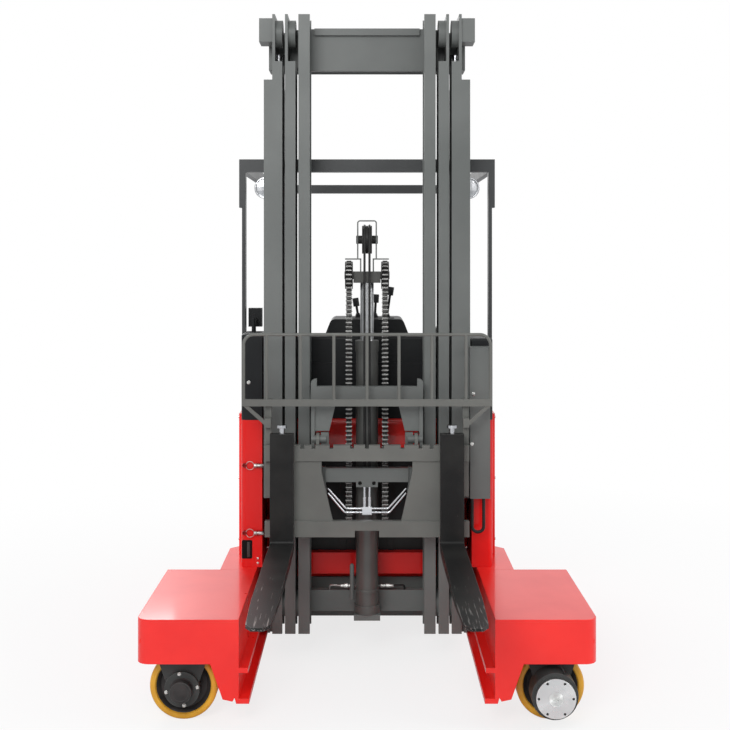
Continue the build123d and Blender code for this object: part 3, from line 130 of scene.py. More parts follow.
# Each lamp: name, place, what it points at, edge length, watts
for lamp_name, lamp_place, lamp_aim, lamp_size, lamp_watts in (
        ("front_lamp", (-1.6, -6.0, 4.4), (0, 0, 1.0), 3.0, 210.0),
        ("right_lamp", (5.0, -1.5, 3.2), (0, 0, 1.2), 2.5, 90.0),
        ("rear_lamp", (-3.0, 5.5, 4.2), (0, 0.5, 1.0), 3.0, 150.0)):
    lamp_data = bpy.data.lights.new(lamp_name, "AREA")
    lamp_data.size = lamp_size
    lamp_data.energy = lamp_watts
    lamp = bpy.data.objects.new(lamp_name, lamp_data)
    lamp.location = lamp_place
    away = np.array(lamp_place) - np.array(lamp_aim)
    flat = math.hypot(away[0], away[1])
    lamp.rotation_euler = (math.atan2(flat, away[2]), 0, math.atan2(away[0], -away[1]))
    scene.collection.objects.link(lamp)

# Legs, body and cover plates. Welded and pressed sheet steel under a thick coat of glossy red enamel,
# with a soft orange-peel skin and rounded edges where the paint has worn thin.
red_enamel = (0.93, 0.024, 0.018)
red_dark = (0.84, 0.015, 0.012)


def new_group(name, numbers, outputs):
    """A shader node group with named number inputs, each with its default, and outputs by type."""
    group = bpy.data.node_groups.new(name, "ShaderNodeTree")
    for label, value in numbers:
        socket = group.interface.new_socket(label, in_out="INPUT", socket_type="NodeSocketFloat")
        socket.default_value = value
    for label, kind in outputs:
        group.interface.new_socket(label, in_out="OUTPUT", socket_type=kind)
    return group, group.nodes.new("NodeGroupInput"), group.nodes.new("NodeGroupOutput")


# Rounded edges and a fine skin: a bevel seen only by the light, noise as height, and a mask of edges
skin_group, skin_in, skin_out = new_group(
    "painted_skin",
    (("Edge Radius", 0.002), ("Skin Scale", 260.0), ("Skin Depth", 0.04), ("Patch Scale", 3.0)),
    (("Normal", "NodeSocketVector"), ("Edge", "NodeSocketFloat"), ("Patches", "NodeSocketFloat")))
coords = node(skin_group, "TexCoord")
round_edge = node(skin_group, "Bevel", samples=4)
skin_noise = node(skin_group, "TexNoise", {"Detail": 3})
patch_noise = node(skin_group, "TexNoise", {"Detail": 5})
skin_bump = node(skin_group, "Bump", {"Distance": 0.001})
true_face = node(skin_group, "NewGeometry")
turn = node(skin_group, "VectorMath", operation="DOT_PRODUCT")
edge_mask = node(skin_group, "MapRange", {"From Min": 0.995, "From Max": 0.80})
join(skin_group, [
    (skin_in.outputs["Edge Radius"], round_edge.inputs["Radius"]),
    (coords.outputs["Object"], skin_noise.inputs["Vector"]),
    (coords.outputs["Object"], patch_noise.inputs["Vector"]),
    (skin_in.outputs["Skin Scale"], skin_noise.inputs["Scale"]),
    (skin_in.outputs["Patch Scale"], patch_noise.inputs["Scale"]),
    (skin_noise.outputs["Fac"], skin_bump.inputs["Height"]),
    (skin_in.outputs["Skin Depth"], skin_bump.inputs["Strength"]),
    (round_edge.outputs["Normal"], skin_bump.inputs["Normal"]),
    (round_edge.outputs["Normal"], turn.inputs[0]),
    (true_face.outputs["Normal"], turn.inputs[1]),
    (turn.outputs["Value"], edge_mask.inputs["Value"]),
    (skin_bump.outputs["Normal"], skin_out.inputs["Normal"]),
    (edge_mask.outputs["Result"], skin_out.inputs["Edge"]),
    (patch_noise.outputs["Fac"], skin_out.inputs["Patches"])])


def coated(name, base, shade, edge_colour, rough, edge_wear, metal=0.0, coat=0.0, radius=0.002,
           skin=(260.0, 0.04), patches=3.0, rough_spread=0.12, shine=0.25):
    """A coated or bare metal: patchy colour, edges lighter as wear, on the forks also as painted highlight.
    """
    material = bpy.data.materials.new(name)
    material.use_nodes = True
    tree = material.node_tree
    shader = tree.nodes["Principled BSDF"]
    shader.inputs["Metallic"].default_value = metal
    shader.inputs["Coat Weight"].default_value = coat
    shader.inputs["Specular IOR Level"].default_value = shine
    shader.inputs["Coat Roughness"].default_value = 0.08
    finish = node(tree, "Group", {"Edge Radius": radius, "Skin Scale": skin[0], "Skin Depth": skin[1],
                                  "Patch Scale": patches}, node_tree=skin_group)
    drift = node(tree, "Mix", {"A": (*shade, 1), "B": (*base, 1)}, data_type="RGBA")
    spread = node(tree, "MapRange", {"From Min": 0.35, "From Max": 0.6})
    worn = node(tree, "Mix", {"B": (*edge_colour, 1)}, data_type="RGBA")
    amount = node(tree, "Math", {1: edge_wear}, operation="MULTIPLY")
    breakup = node(tree, "Math", operation="MULTIPLY")
    gloss = node(tree, "MapRange", {"To Min": rough + rough_spread / 2, "To Max": rough - rough_spread / 2})
    join(tree, [
        (finish.outputs["Patches"], spread.inputs["Value"]),
        (spread.outputs["Result"], drift.inputs["Factor"]),
        (finish.outputs["Edge"], breakup.inputs[0]),
        (spread.outputs["Result"], breakup.inputs[1]),
        (breakup.outputs[0], amount.inputs[0]),
        (amount.outputs[0], worn.inputs["Factor"]),
        (drift.outputs["Result"], worn.inputs["A"]),
        (worn.outputs["Result"], shader.inputs["Base Color"]),
        (finish.outputs["Patches"], gloss.inputs["Value"]),
        (gloss.outputs["Result"], shader.inputs["Roughness"]),
        (finish.outputs["Normal"], shader.inputs["Normal"])])
    return material


def wear(material, *names):
    """Give CAD nodes a material."""
    for name in names:
        for place_on in nodes[name].material_slots:
            place_on.material = material


red = coated("red_enamel", red_enamel, red_dark, (0.98, 0.12, 0.09), 0.30, 0.35, coat=0.5, shine=0.2)
wear(red, "leg_left", "leg_right", "pod_cover_left", "pod_cover_right", "battery_lid", "body_shell")
# Columns and cross beam: the red enamel painted darker, as painted shade deeper in the truck.
red_painted_shade = coated("red_painted_shade", (0.74, 0.014, 0.012), (0.66, 0.009, 0.009), (0.90, 0.10, 0.08),
                   0.36, 0.35, coat=0.25, shine=0.1)
wear(red_painted_shade, "column_left", "column_right", "cross_beam")

# Mast. Rolled channel rails nested in each other on rollers, welded ties and lift cylinders, under a
# satin mid grey coat that is thin on the corners. The reach frame and the lift carriage have it too.
grey = coated("mast_grey", (0.148, 0.156, 0.150), (0.118, 0.126, 0.121), (0.34, 0.34, 0.33),
              0.40, 0.5, patches=2.0)
wear(grey, "mast_outer", "mast_middle", "mast_inner", "reach_frame", "lift_cylinders", "hose_cover",
     "pulley_guard", "lift_carriage")

# Free lift cylinder and crosshead. A darker, glossier cylinder, and a crosshead whose rod is ground and
# chromed up to the block that carries the sheaves.
cylinder_grey = coated("cylinder_grey", (0.082, 0.083, 0.078), (0.064, 0.065, 0.061),
                       (0.24, 0.24, 0.23), 0.30, 0.5, patches=6.0, shine=0.5)
wear(cylinder_grey, "free_lift_cylinder")
block_foot = 1.667
rod_edge = 0.0305
rod_and_block = coated("rod_and_block", (0.085, 0.085, 0.080), (0.066, 0.066, 0.062),
                       (0.24, 0.24, 0.23), 0.34, 0.5, patches=6.0)
tree = rod_and_block.node_tree
shader = tree.nodes["Principled BSDF"]
painted = shader.inputs["Base Color"].links[0].from_socket
coords = node(tree, "TexCoord")
from_axis = node(tree, "VectorMath", {1: (1, 1, 0), 2: (0, 0.150, 0)}, operation="MULTIPLY_ADD")
radius_at = node(tree, "VectorMath", operation="LENGTH")
height_at = node(tree, "SeparateXYZ")
near = node(tree, "Math", {1: rod_edge}, operation="LESS_THAN")
under = node(tree, "Math", {1: block_foot}, operation="LESS_THAN")
on_rod = node(tree, "Math", operation="MULTIPLY")
plating = node(tree, "Mix", {"B": (0.60, 0.61, 0.62, 1)}, data_type="RGBA")
join(tree, [
    (coords.outputs["Object"], from_axis.inputs[0]),
    (from_axis.outputs[0], radius_at.inputs[0]),
    (coords.outputs["Object"], height_at.inputs[0]),
    (radius_at.outputs["Value"], near.inputs[0]),
    (height_at.outputs["Z"], under.inputs[0]),
    (near.outputs[0], on_rod.inputs[0]),
    (under.outputs[0], on_rod.inputs[1]),
    (on_rod.outputs[0], plating.inputs["Factor"]),
    (painted, plating.inputs["A"]),
    (plating.outputs["Result"], shader.inputs["Base Color"]),
    (on_rod.outputs[0], shader.inputs["Metallic"])])
wear(rod_and_block, "crosshead")

# Fork carriage and load backrest. Flame-cut notched bars and a welded cage of round bar, bolted together
# under a warmer, lighter grey than the mast's.
bar_grey = coated("carriage_grey", (0.150, 0.152, 0.140), (0.122, 0.124, 0.115),
                  (0.42, 0.42, 0.39), 0.42, 0.6, patches=4.0)
wear(bar_grey, "fork_carriage", "load_backrest")

# Overhead guard. Flat steel posts and bars, welded into one frame that is bolted to the body, in a dark,
# slightly glossy charcoal enamel.
charcoal = coated("guard_charcoal", (0.060, 0.063, 0.064), (0.048, 0.050, 0.051),
                  (0.22, 0.22, 0.22), 0.36, 0.5)
wear(charcoal, "overhead_guard")

# Pulleys, yokes, battery, ballast and drive unit. Plain black coats over castings and plates, with a
# slightly rough skin and greyed edges.
black = coated("black_coat", (0.013, 0.013, 0.013), (0.022, 0.021, 0.020), (0.16, 0.15, 0.14),
               0.42, 0.7, skin=(420.0, 0.15), patches=7.0, shine=0.2)
wear(black, "crosshead_pulleys", "battery", "counterweight", "cab_floor", "reach_cylinder", "drive_unit")
yoke_grey = coated("yoke_grey", (0.050, 0.052, 0.050), (0.036, 0.036, 0.035), (0.22, 0.21, 0.20),
                   0.42, 0.7, skin=(420.0, 0.15), patches=9.0)
wear(yoke_grey, "yoke_left", "yoke_right")

# Moulded covers. Injection-moulded and vacuum-formed black plastic with a fine leather-like grain, on
# the cupboards, the console and its hood, the dash, the seat's box, the display and the lamps' bowls.
plastic = coated("black_plastic", (0.010, 0.011, 0.012), (0.014, 0.015, 0.016),
                 (0.05, 0.05, 0.05), 0.42, 0.3, skin=(900.0, 0.25), shine=0.2)
wear(plastic, "cupboard_left", "cupboard_right", "control_console", "control_levers", "dash", "cab_cowl",
     "steering_wheel", "seat_base", "display", "work_lamps")

# Rods, pins and pipes. Ground steel under hard chrome, with only the edges rubbed, on the reach and lift
# rods, the tilt rods, the fork pins and the valve block's pipes.
chrome = coated("plated_steel", (0.62, 0.63, 0.65), (0.55, 0.56, 0.58), (0.8, 0.8, 0.8),
                0.16, 0.3, metal=1.0)
wear(chrome, "reach_rod", "lift_rods", "manifold", "tilt_rods", "fork_pins")

# Hoses. Black rubber with a dull, dusty skin: two run taut over the pulley above the crosshead, and one
# makes a short fixed loop at the foot of the hose cover.
rubber = coated("black_rubber", (0.018, 0.018, 0.018), (0.030, 0.030, 0.029), (0.05, 0.05, 0.05),
                0.50, 0.3, skin=(700.0, 0.3), patches=20.0, shine=0.15)
wear(rubber, "lift_hoses", "cover_hose")

# Load wheels. Cast amber polyurethane tyres with soft shoulders, bonded to a machined core whose dish is
# painted black, each on a sealed bearing.
wheel_axle = np.array((0.707, -0.765, 0.131))
tyre_radius = 0.131
tyre_half = 0.050
core_radius = 0.105
bore_radius = 0.0301
shoulder = 0.013


def solid(name, points, faces, material, body, crease=35.0):
    """A mesh from an array of points and a list of faces, smooth but for its sharp edges, on a body."""
    mesh = bpy.data.meshes.new(name)
    mesh.from_pydata(np.asarray(points, dtype=float).reshape(-1, 3).tolist(), [], faces)
    mesh.update()
    mesh.shade_smooth()
    mesh.set_sharp_from_angle(angle=math.radians(crease))
    mesh.materials.append(material)
    made = bpy.data.objects.new(name, mesh)
    scene.collection.objects.link(made)
    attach(made, body)
    return made


def turned(profile, centre, axis, steps=96):
    """Points centre + h axis + r (cos t p + sin t q) for each (h, r) of the profile, t round the axis."""
    axis = np.array(axis, dtype=float)
    p = np.cross(axis, (0.0, 0.0, 1.0) if abs(axis[2]) < 0.9 else (1.0, 0.0, 0.0))
    p = p / np.linalg.norm(p)
    q = np.cross(axis, p)
    h, r = np.array(profile, dtype=float).T
    t = np.arange(steps) * 2 * math.pi / steps
    ring = np.cos(t)[:, None] * p + np.sin(t)[:, None] * q
    points = np.array(centre) + h[:, None, None] * axis + r[:, None, None] * ring
    rows, turn = np.meshgrid(np.arange(len(h) - 1), np.arange(steps), indexing="ij")
    a = rows * steps + turn
    b = rows * steps + (turn + 1) % steps
    faces = np.stack([a, b, b + steps, a + steps], axis=-1).reshape(-1, 4)
    return points.reshape(-1, 3), faces.tolist()


bend = np.linspace(0, math.pi / 2, 7)
low_side = [(shoulder - tyre_half - shoulder * math.cos(a), tyre_radius - shoulder + shoulder * math.sin(a))
            for a in bend]
high_side = [(-h, r) for h, r in low_side[::-1]]
tyre_profile = ([(0.006 - tyre_half, core_radius), (-tyre_half, core_radius + 0.004)] + low_side + high_side
                + [(tyre_half, core_radius + 0.004), (tyre_half - 0.006, core_radius)])
core_profile = [(0.006 - tyre_half, core_radius), (0.008 - tyre_half, core_radius - 0.004),
                (0.022 - tyre_half, 0.089), (0.024 - tyre_half, 0.060), (0.010 - tyre_half, 0.054),
                (0.010 - tyre_half, bore_radius), (tyre_half - 0.004, bore_radius),
                (tyre_half - 0.004, 0.054), (tyre_half - 0.020, 0.060), (tyre_half - 0.018, 0.089),
                (tyre_half - 0.008, core_radius - 0.004), (tyre_half - 0.006, core_radius)]
amber = coated("amber_tyre", (0.80, 0.42, 0.035), (0.62, 0.30, 0.022), (0.86, 0.52, 0.12),
               0.36, 0.35, coat=0.25, radius=0.003, skin=(420.0, 0.10), patches=9.0)
core_black = coated("wheel_core", (0.022, 0.021, 0.021), (0.042, 0.037, 0.036),
                    (0.20, 0.19, 0.18), 0.40, 0.7, skin=(500.0, 0.2), patches=14.0)
for side, name in ((-1, "left"), (1, "right")):
    middle = wheel_axle * (side, 1, 1)
    tyre = solid(f"tyre_{name}", *turned(tyre_profile, middle, (0, 1, 0), 128), amber,
                 f"load_wheel_{name}")
    core = solid(f"wheel_core_{name}", *turned(core_profile, middle, (0, 1, 0), 96), core_black,
                 f"load_wheel_{name}")
    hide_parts(f"load_wheel_{name}")
    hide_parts(f"load_wheel_{name}")

# Wheel ends. On the left a dished black hub cap held by four bright screws, on the right the wheel
# brake's turned aluminium cover, whose lathe marks run round a middle that is faced off matt.
zinc = coated("zinc_screws", (0.62, 0.62, 0.60), (0.50, 0.50, 0.48), (0.75, 0.75, 0.73),
              0.26, 0.4, metal=1.0, radius=0.0004, skin=(1500.0, 0.2), patches=60.0)
hub_face = np.array((-0.707, -0.853, 0.131))
hub_screw_ring = 0.0600
hub_screw_start = math.radians(9)
hub_screw_head = 0.0110
nose_radius = 0.0414
nose_length = 0.0365


def screws(name, places, toward, width, material, body, corners=6):
    """Screw heads with a washer: (h, r) turned round toward at each place, six corners for a hexagon."""
    half = width / 2
    profile = ((-0.0002, half * 1.3), (0.10 * width, half * 1.3), (0.10 * width, half * 1.1),
               (0.50 * width, half * 1.1), (0.58 * width, half * 0.92), (0.60 * width, half * 0.5),
               (0.60 * width, 0.00005))
    rings = [turned(profile, place_at, toward, corners) for place_at in places]
    count = len(rings[0][0])
    points = np.concatenate([ring for ring, quads in rings])
    faces = np.concatenate([np.array(quads) + number * count for number, (ring, quads) in enumerate(rings)])
    made = solid(name, points, faces.tolist(), material, body, 25.0)
    return made


hub_turn = hub_screw_start + np.arange(4) * math.pi / 2
screws("hub_screws_left",
       hub_face + hub_screw_ring * np.stack([np.cos(hub_turn), 0 * hub_turn, np.sin(hub_turn)], axis=-1),
       (0, -1, 0), hub_screw_head, zinc, "yoke_left", 16)
nose = solid("hub_nose_left",
             *turned([(0.0, 0.0450), (0.004, nose_radius), (nose_length - 0.002, nose_radius),
                      (nose_length, nose_radius - 0.002), (nose_length, 0.030),
                      (nose_length - 0.0003, 0.0296), (nose_length - 0.0003, 0.0001)],
                     hub_face, (0, -1, 0), 64), core_black, "yoke_left")
turned_cover = coated("turned_cover", (0.72, 0.73, 0.73), (0.66, 0.67, 0.67), (0.85, 0.85, 0.85),
                      0.28, 0.3, metal=1.0, skin=(900.0, 0.10), patches=12.0)
tree = turned_cover.node_tree
lathe = tree.nodes["Principled BSDF"]
lathe.inputs["Anisotropic"].default_value = 0.85
coords = node(tree, "TexCoord")
from_middle = node(tree, "VectorMath", {1: (wheel_axle[0], 0, wheel_axle[2])}, operation="SUBTRACT")
around = node(tree, "VectorMath", {1: (0, 1, 0)}, operation="CROSS_PRODUCT")
join(tree, [
    (coords.outputs["Object"], from_middle.inputs[0]),
    (from_middle.outputs[0], around.inputs[0]),
    (around.outputs[0], lathe.inputs["Tangent"])])
from_centre = node(tree, "VectorMath", operation="LENGTH")
faced = node(tree, "MapRange", {"From Min": 0.0272, "From Max": 0.0264})
faced_colour = node(tree, "Mix", {"B": (0.84, 0.85, 0.84, 1)}, data_type="RGBA")
faced_rough = node(tree, "Mix", {"B": 0.62})
join(tree, [
    (around.outputs[0], from_centre.inputs[0]),
    (from_centre.outputs["Value"], faced.inputs["Value"]),
    (faced.outputs["Result"], faced_colour.inputs["Factor"]),
    (faced.outputs["Result"], faced_rough.inputs["Factor"]),
    (lathe.inputs["Base Color"].links[0].from_socket, faced_colour.inputs["A"]),
    (lathe.inputs["Roughness"].links[0].from_socket, faced_rough.inputs["A"]),
    (faced_colour.outputs["Result"], lathe.inputs["Base Color"]),
    (faced_rough.outputs["Result"], lathe.inputs["Roughness"])])
wear(turned_cover, "brake_disc")
brake_hole_y, brake_hole_ring, brake_screw_head = -0.9405, 0.065, 0.0070
brake_turn = np.arange(6) * math.pi / 3
screws("brake_screws",
       np.array((wheel_axle[0], brake_hole_y, wheel_axle[2]))
       + brake_hole_ring * np.stack([np.cos(brake_turn), 0 * brake_turn, np.sin(brake_turn)], axis=-1),
       (0, -1, 0), brake_screw_head, core_black, "yoke_right", 12)

# Lift chains. Leaf chain of 19 mm pitch, seven plates wide, on pins that stand out past the plates. Oil
# keeps it dark; the pin ends and the edges of the plates' humps are painted bright, partly as rubbed wear
# and partly as a painted highlight for the light those curved edges catch.
pitch = 0.01905
chain_radius = 0.0583
chain_foot = 0.560
chain_side = 0.080
hump_radius = 0.0074
plate_waist = 0.0044
plate_thick = 0.0026
pin_radius = 0.0034
pin_half = 0.0134
outer_plate = 0.0093
sheave_y, sheave_z = -0.150, 1.700
straight = sheave_z - chain_foot
pin_count = int((2 * straight + math.pi * chain_radius) / pitch) + 1
along = np.arange(pin_count) * pitch
turn_angle = np.clip((along - straight) / chain_radius, 0, math.pi)
down = np.maximum(along - straight - math.pi * chain_radius, 0)
pins = np.stack([0 * along, sheave_y - chain_radius * np.cos(turn_angle),
                 np.where(along < straight, chain_foot + along,
                          sheave_z + chain_radius * np.sin(turn_angle) - down)], axis=-1)
hump = np.radians(np.linspace(-105, 105, 9))
half_plate = np.stack([pitch / 2 + hump_radius * np.cos(hump), hump_radius * np.sin(hump)], axis=-1)
plate = np.concatenate([half_plate, [(0, plate_waist)], -half_plate, [(0, -plate_waist)]])
# Hump edges that take the bright material: rubbed wear and painted highlight together.
bright_edges = [0, 1, 6, 7, 10, 11, 16, 17]
pin_turn = np.arange(10) * math.pi / 5
link_mid = (pins[1:] + pins[:-1]) / 2
link_dir = (pins[1:] - pins[:-1]) / np.linalg.norm(pins[1:] - pins[:-1], axis=1)[:, None]
link_up = np.stack([0 * link_dir[:, 0], -link_dir[:, 2], link_dir[:, 1]], axis=-1)
flat_plates = (link_mid[:, None] + plate[None, :, :1] * link_dir[:, None]
               + plate[None, :, 1:] * link_up[:, None])
pin_rings = pins[:, None] + np.stack([0 * pin_turn, pin_radius * np.cos(pin_turn),
                                      pin_radius * np.sin(pin_turn)], axis=-1)


def slabs(outlines, low_x, high_x, start):
    """Each outline (a row of points in YZ) swept from low_x to high_x, with both ends closed."""
    rows, count = outlines.shape[:2]
    points = np.concatenate([(outlines + (low_x, 0, 0)).reshape(-1, 3),
                             (outlines + (high_x, 0, 0)).reshape(-1, 3)])
    base = start + np.arange(rows)[:, None] * count
    ring = np.arange(count)
    after = (ring + 1) % count
    across = rows * count
    sides_of = np.stack([base + ring, base + after, base + across + after, base + across + ring], axis=-1)
    return points, sides_of.reshape(-1, 4).tolist() + (base + ring[::-1]).tolist() + (
        base + across + ring).tolist()


chain_points, chain_faces, chain_bright = np.zeros((0, 3)), [], []
for layer, layer_x in enumerate(np.linspace(-outer_plate, outer_plate, 7)):
    outlines = flat_plates[layer % 2::2]
    points, faces = slabs(outlines, layer_x - plate_thick / 2, layer_x + plate_thick / 2, len(chain_points))
    chain_points = np.concatenate([chain_points, points])
    chain_faces += faces
    on_edge = np.isin(np.arange(len(plate)), bright_edges)
    chain_bright += list(np.tile(on_edge, len(outlines))) + [False] * (2 * len(outlines))
points, faces = slabs(pin_rings, -pin_half, pin_half, len(chain_points))
chain_points = np.concatenate([chain_points, points])
chain_faces += faces
chain_bright += [True] * len(faces)
# Bright links: rubbed wear on pin ends and hump edges, with a painted highlight.
rubbed_and_highlit = coated("rubbed_and_highlit_links", (0.36, 0.36, 0.35), (0.22, 0.22, 0.21), (0.60, 0.60, 0.58),
                0.38, 0.5, metal=0.6, radius=0.0006, skin=(1200.0, 0.2), patches=40.0)
oiled = coated("oiled_chain", (0.016, 0.015, 0.015), (0.009, 0.008, 0.008), (0.10, 0.10, 0.09),
               0.40, 0.5, shine=0.15, radius=0.0006, skin=(1200.0, 0.2), patches=40.0)
for side, name in ((-1, "left"), (1, "right")):
    leaf_chain = solid(f"leaf_chain_{name}", chain_points + (side * chain_side, 0, 0), chain_faces, oiled,
                       "crosshead", 30.0)
    leaf_chain.data.materials.append(rubbed_and_highlit)
    leaf_chain.data.polygons.foreach_set("material_index", np.array(chain_bright, dtype=np.int32))
    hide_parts("lift_chains")

# Seat. Foam pads under black woven cloth: a cushion with a raised front roll and three sewn channels,
# and a back rest that is crowned and narrower at the top, on a moulded shell.
cloth = bpy.data.materials.new("seat_cloth")
cloth.use_nodes = True
tree = cloth.node_tree
shader = tree.nodes["Principled BSDF"]
shader.inputs["Sheen Weight"].default_value = 0.35
shader.inputs["Sheen Roughness"].default_value = 0.4
shader.inputs["Roughness"].default_value = 0.85
coords = node(tree, "TexCoord")
threads = []
for direction in ("X", "Y", "Z"):
    thread = node(tree, "TexWave", {"Scale": 125.0, "Distortion": 0.6, "Detail Scale": 40.0},
                  bands_direction=direction)
    tree.links.new(coords.outputs["Object"], thread.inputs["Vector"])
    threads.append(thread)
weave = node(tree, "Math", operation="MAXIMUM")
weave_all = node(tree, "Math", operation="MULTIPLY")
blotch = node(tree, "TexNoise", {"Scale": 9.0, "Detail": 6.0})
shadow = node(tree, "Math", operation="MULTIPLY")
yarn = node(tree, "Mix", {"A": (0.012, 0.012, 0.013, 1), "B": (0.060, 0.060, 0.064, 1)}, data_type="RGBA")
relief = node(tree, "Bump", {"Strength": 0.5, "Distance": 0.0008})
join(tree, [
    (threads[0].outputs["Fac"], weave.inputs[0]),
    (threads[1].outputs["Fac"], weave.inputs[1]),
    (weave.outputs[0], weave_all.inputs[0]),
    (threads[2].outputs["Fac"], weave_all.inputs[1]),
    (coords.outputs["Object"], blotch.inputs["Vector"]),
    (weave_all.outputs[0], shadow.inputs[0]),
    (blotch.outputs["Fac"], shadow.inputs[1]),
    (shadow.outputs[0], yarn.inputs["Factor"]),
    (yarn.outputs["Result"], shader.inputs["Base Color"]),
    (weave_all.outputs[0], relief.inputs["Height"]),
    (relief.outputs["Normal"], shader.inputs["Normal"])])


def pad(name, middle, halves, shape, channels, clear, replaced, most=0.014):
    """A foam pad: |x/a|^m + |y/b|^m + |z/c|^m = 1 moved by shape, swollen as cloth, then sewn.

    The grid of angles u, v gives a point a c(v) c(u), b c(v) s(u), c s(v), where c and s are the powers
    of cosine and sine that round a box. channels lowers the skin along its seams, and clear keeps the
    pad off what it rests on.
    """
    power = 0.34
    u = np.linspace(-math.pi, math.pi, 97)[:-1]
    v = np.linspace(-math.pi / 2, math.pi / 2, 49)
    cu, su = (np.sign(f) * np.abs(f) ** power for f in (np.cos(u), np.sin(u)))
    cv, sv = (np.sign(f) * np.abs(f) ** power for f in (np.cos(v), np.sin(v)))
    grid = np.stack([np.outer(cv, cu), np.outer(cv, su), np.outer(sv, np.ones_like(u))], axis=-1)
    points = shape(grid.reshape(-1, 3)) * halves + middle
    rows, turn = np.meshgrid(np.arange(len(v) - 1), np.arange(len(u)), indexing="ij")
    a = rows * len(u) + turn
    b = rows * len(u) + (turn + 1) % len(u)
    made = solid(name, points, np.stack([a, b, b + len(u), a + len(u)], axis=-1).reshape(-1, 4).tolist(),
                 cloth, "chassis", 180.0)
    bpy.context.view_layer.objects.active = made
    made.select_set(True)
    remesh = made.modifiers.new("even", "REMESH")
    remesh.mode = "VOXEL"
    remesh.voxel_size = 0.006
    remesh.use_smooth_shade = True
    bpy.ops.object.modifier_apply(modifier="even")
    before = np.zeros(len(made.data.vertices) * 3)
    made.data.vertices.foreach_get("co", before)
    swell = made.modifiers.new("swell", "CLOTH")
    swell.settings.use_pressure = True
    swell.settings.uniform_pressure_force = 4.0
    swell.settings.effector_weights.gravity = 0.0
    swell.point_cache.frame_end = 20
    for frame_number in range(1, 21):
        scene.frame_set(frame_number)
    bpy.ops.object.modifier_apply(modifier="swell")
    scene.frame_set(1)
    after = np.zeros_like(before)
    made.data.vertices.foreach_get("co", after)
    move = (after - before).reshape(-1, 3)
    far = np.linalg.norm(move, axis=1, keepdims=True)
    after = before.reshape(-1, 3) + move * np.minimum(1, most / np.maximum(far, 1e-9))
    made.data.vertices.foreach_set("co", after.ravel())
    smooth = made.modifiers.new("smooth", "SUBSURF")
    smooth.levels = 1
    bpy.ops.object.modifier_apply(modifier="smooth")
    made.select_set(False)
    skin_points = np.zeros(len(made.data.vertices) * 3)
    made.data.vertices.foreach_get("co", skin_points)
    skin_points = clear(channels(skin_points.reshape(-1, 3)))
    made.data.vertices.foreach_set("co", skin_points.ravel())
    made.data.update()
    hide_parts(replaced)
    return made


def groove(distance, depth, width=0.006):
    """How far a seam pulls the skin in: depth times a bell curve of distance over width."""
    return depth * np.exp(-(distance / width) ** 2)


seat_middle_y = 0.760
cushion_low, cushion_high = np.array((-0.4297, 0.530, 1.0003)), np.array((0.030, 0.990, 1.1003))
back_low, back_high = np.array((-0.530, 0.530, 1.0003)), np.array((-0.430, 0.990, 1.5603))


def cushion_shape(p):
    """Lower at the middle of the sitting face, higher along the front edge, waisted sides."""
    x, y, z = p.T
    waist = 1 - 0.05 * np.cos(math.pi * x / 2) * np.abs(y)
    return np.stack([x, y * waist, z * (0.80 + 0.10 * np.clip(x, 0, 1) ** 2 - 0.10 * (1 - y * y))], axis=-1)


def cushion_channels(p):
    """Three grooves across the middle panel and two along its sides, only in the top face."""
    top = np.clip((p[:, 2] - 1.050) / 0.020, 0, 1)
    depth = np.zeros(len(p))
    for seam_x in (-0.30, -0.20, -0.10):
        inside = np.clip((0.150 - np.abs(p[:, 1] - seat_middle_y)) / 0.008, 0, 1)
        depth += inside * groove(p[:, 0] - seam_x, 0.0055)
    for seam_y in (-0.155, 0.155):
        depth += groove(p[:, 1] - seat_middle_y - seam_y, 0.0065)
    p[:, 2] -= top * depth
    return p


def cushion_clear(p):
    """Flat on the seat's box and off the back rest."""
    p[:, 2] = np.maximum(p[:, 2], cushion_low[2])
    p[:, 0] = np.maximum(p[:, 0], cushion_low[0])
    return p


def back_shape(p):
    """Narrower towards the top, with the lumbar roll pushed forward."""
    x, y, z = p.T
    lumbar = 0.18 * np.exp(-((z + 0.45) / 0.3) ** 2) - 0.10 * (1 - y * y) * np.clip(z, 0, 1)
    return np.stack([x * 0.78 + lumbar * (x > 0), y * (0.98 - 0.10 * np.clip(z, 0, 1) ** 2), z * 0.97],
                    axis=-1)


def back_channels(p):
    """Two upright seams beside the middle panel and two channels across it."""
    front = np.clip((p[:, 0] + 0.480) / 0.020, 0, 1)
    depth = groove(np.abs(p[:, 1] - seat_middle_y) - 0.140, 0.0065)
    for seam_z in (1.18, 1.30, 1.42):
        depth += (np.abs(p[:, 1] - seat_middle_y) < 0.138) * groove(p[:, 2] - seam_z, 0.0050)
    p[:, 0] -= front * depth
    return p


def back_clear(p):
    """Off the shell behind it and the cushion in front of its foot."""
    low_part = np.clip((1.125 - p[:, 2]) / 0.010, 0, 1)
    p[:, 0] = np.maximum(p[:, 0], back_low[0] + 0.012)
    p[:, 0] = np.minimum(p[:, 0], back_high[0] + 0.008 - 0.0085 * low_part)
    p[:, 2] = np.maximum(p[:, 2], back_low[2])
    return p


cushion_slack, back_slack = (0.006, 0.006, 0.004), (0.008, 0.010, 0.008)
back_forward = (0.006, 0, 0)
pad("seat_pad", (cushion_low + cushion_high) / 2, (cushion_high - cushion_low) / 2 - cushion_slack,
    cushion_shape, cushion_channels, cushion_clear, "seat_cushion")
pad("back_pad", (back_low + back_high) / 2 + back_forward, (back_high - back_low) / 2 - back_slack,
    back_shape, back_channels, back_clear, "seat_back")
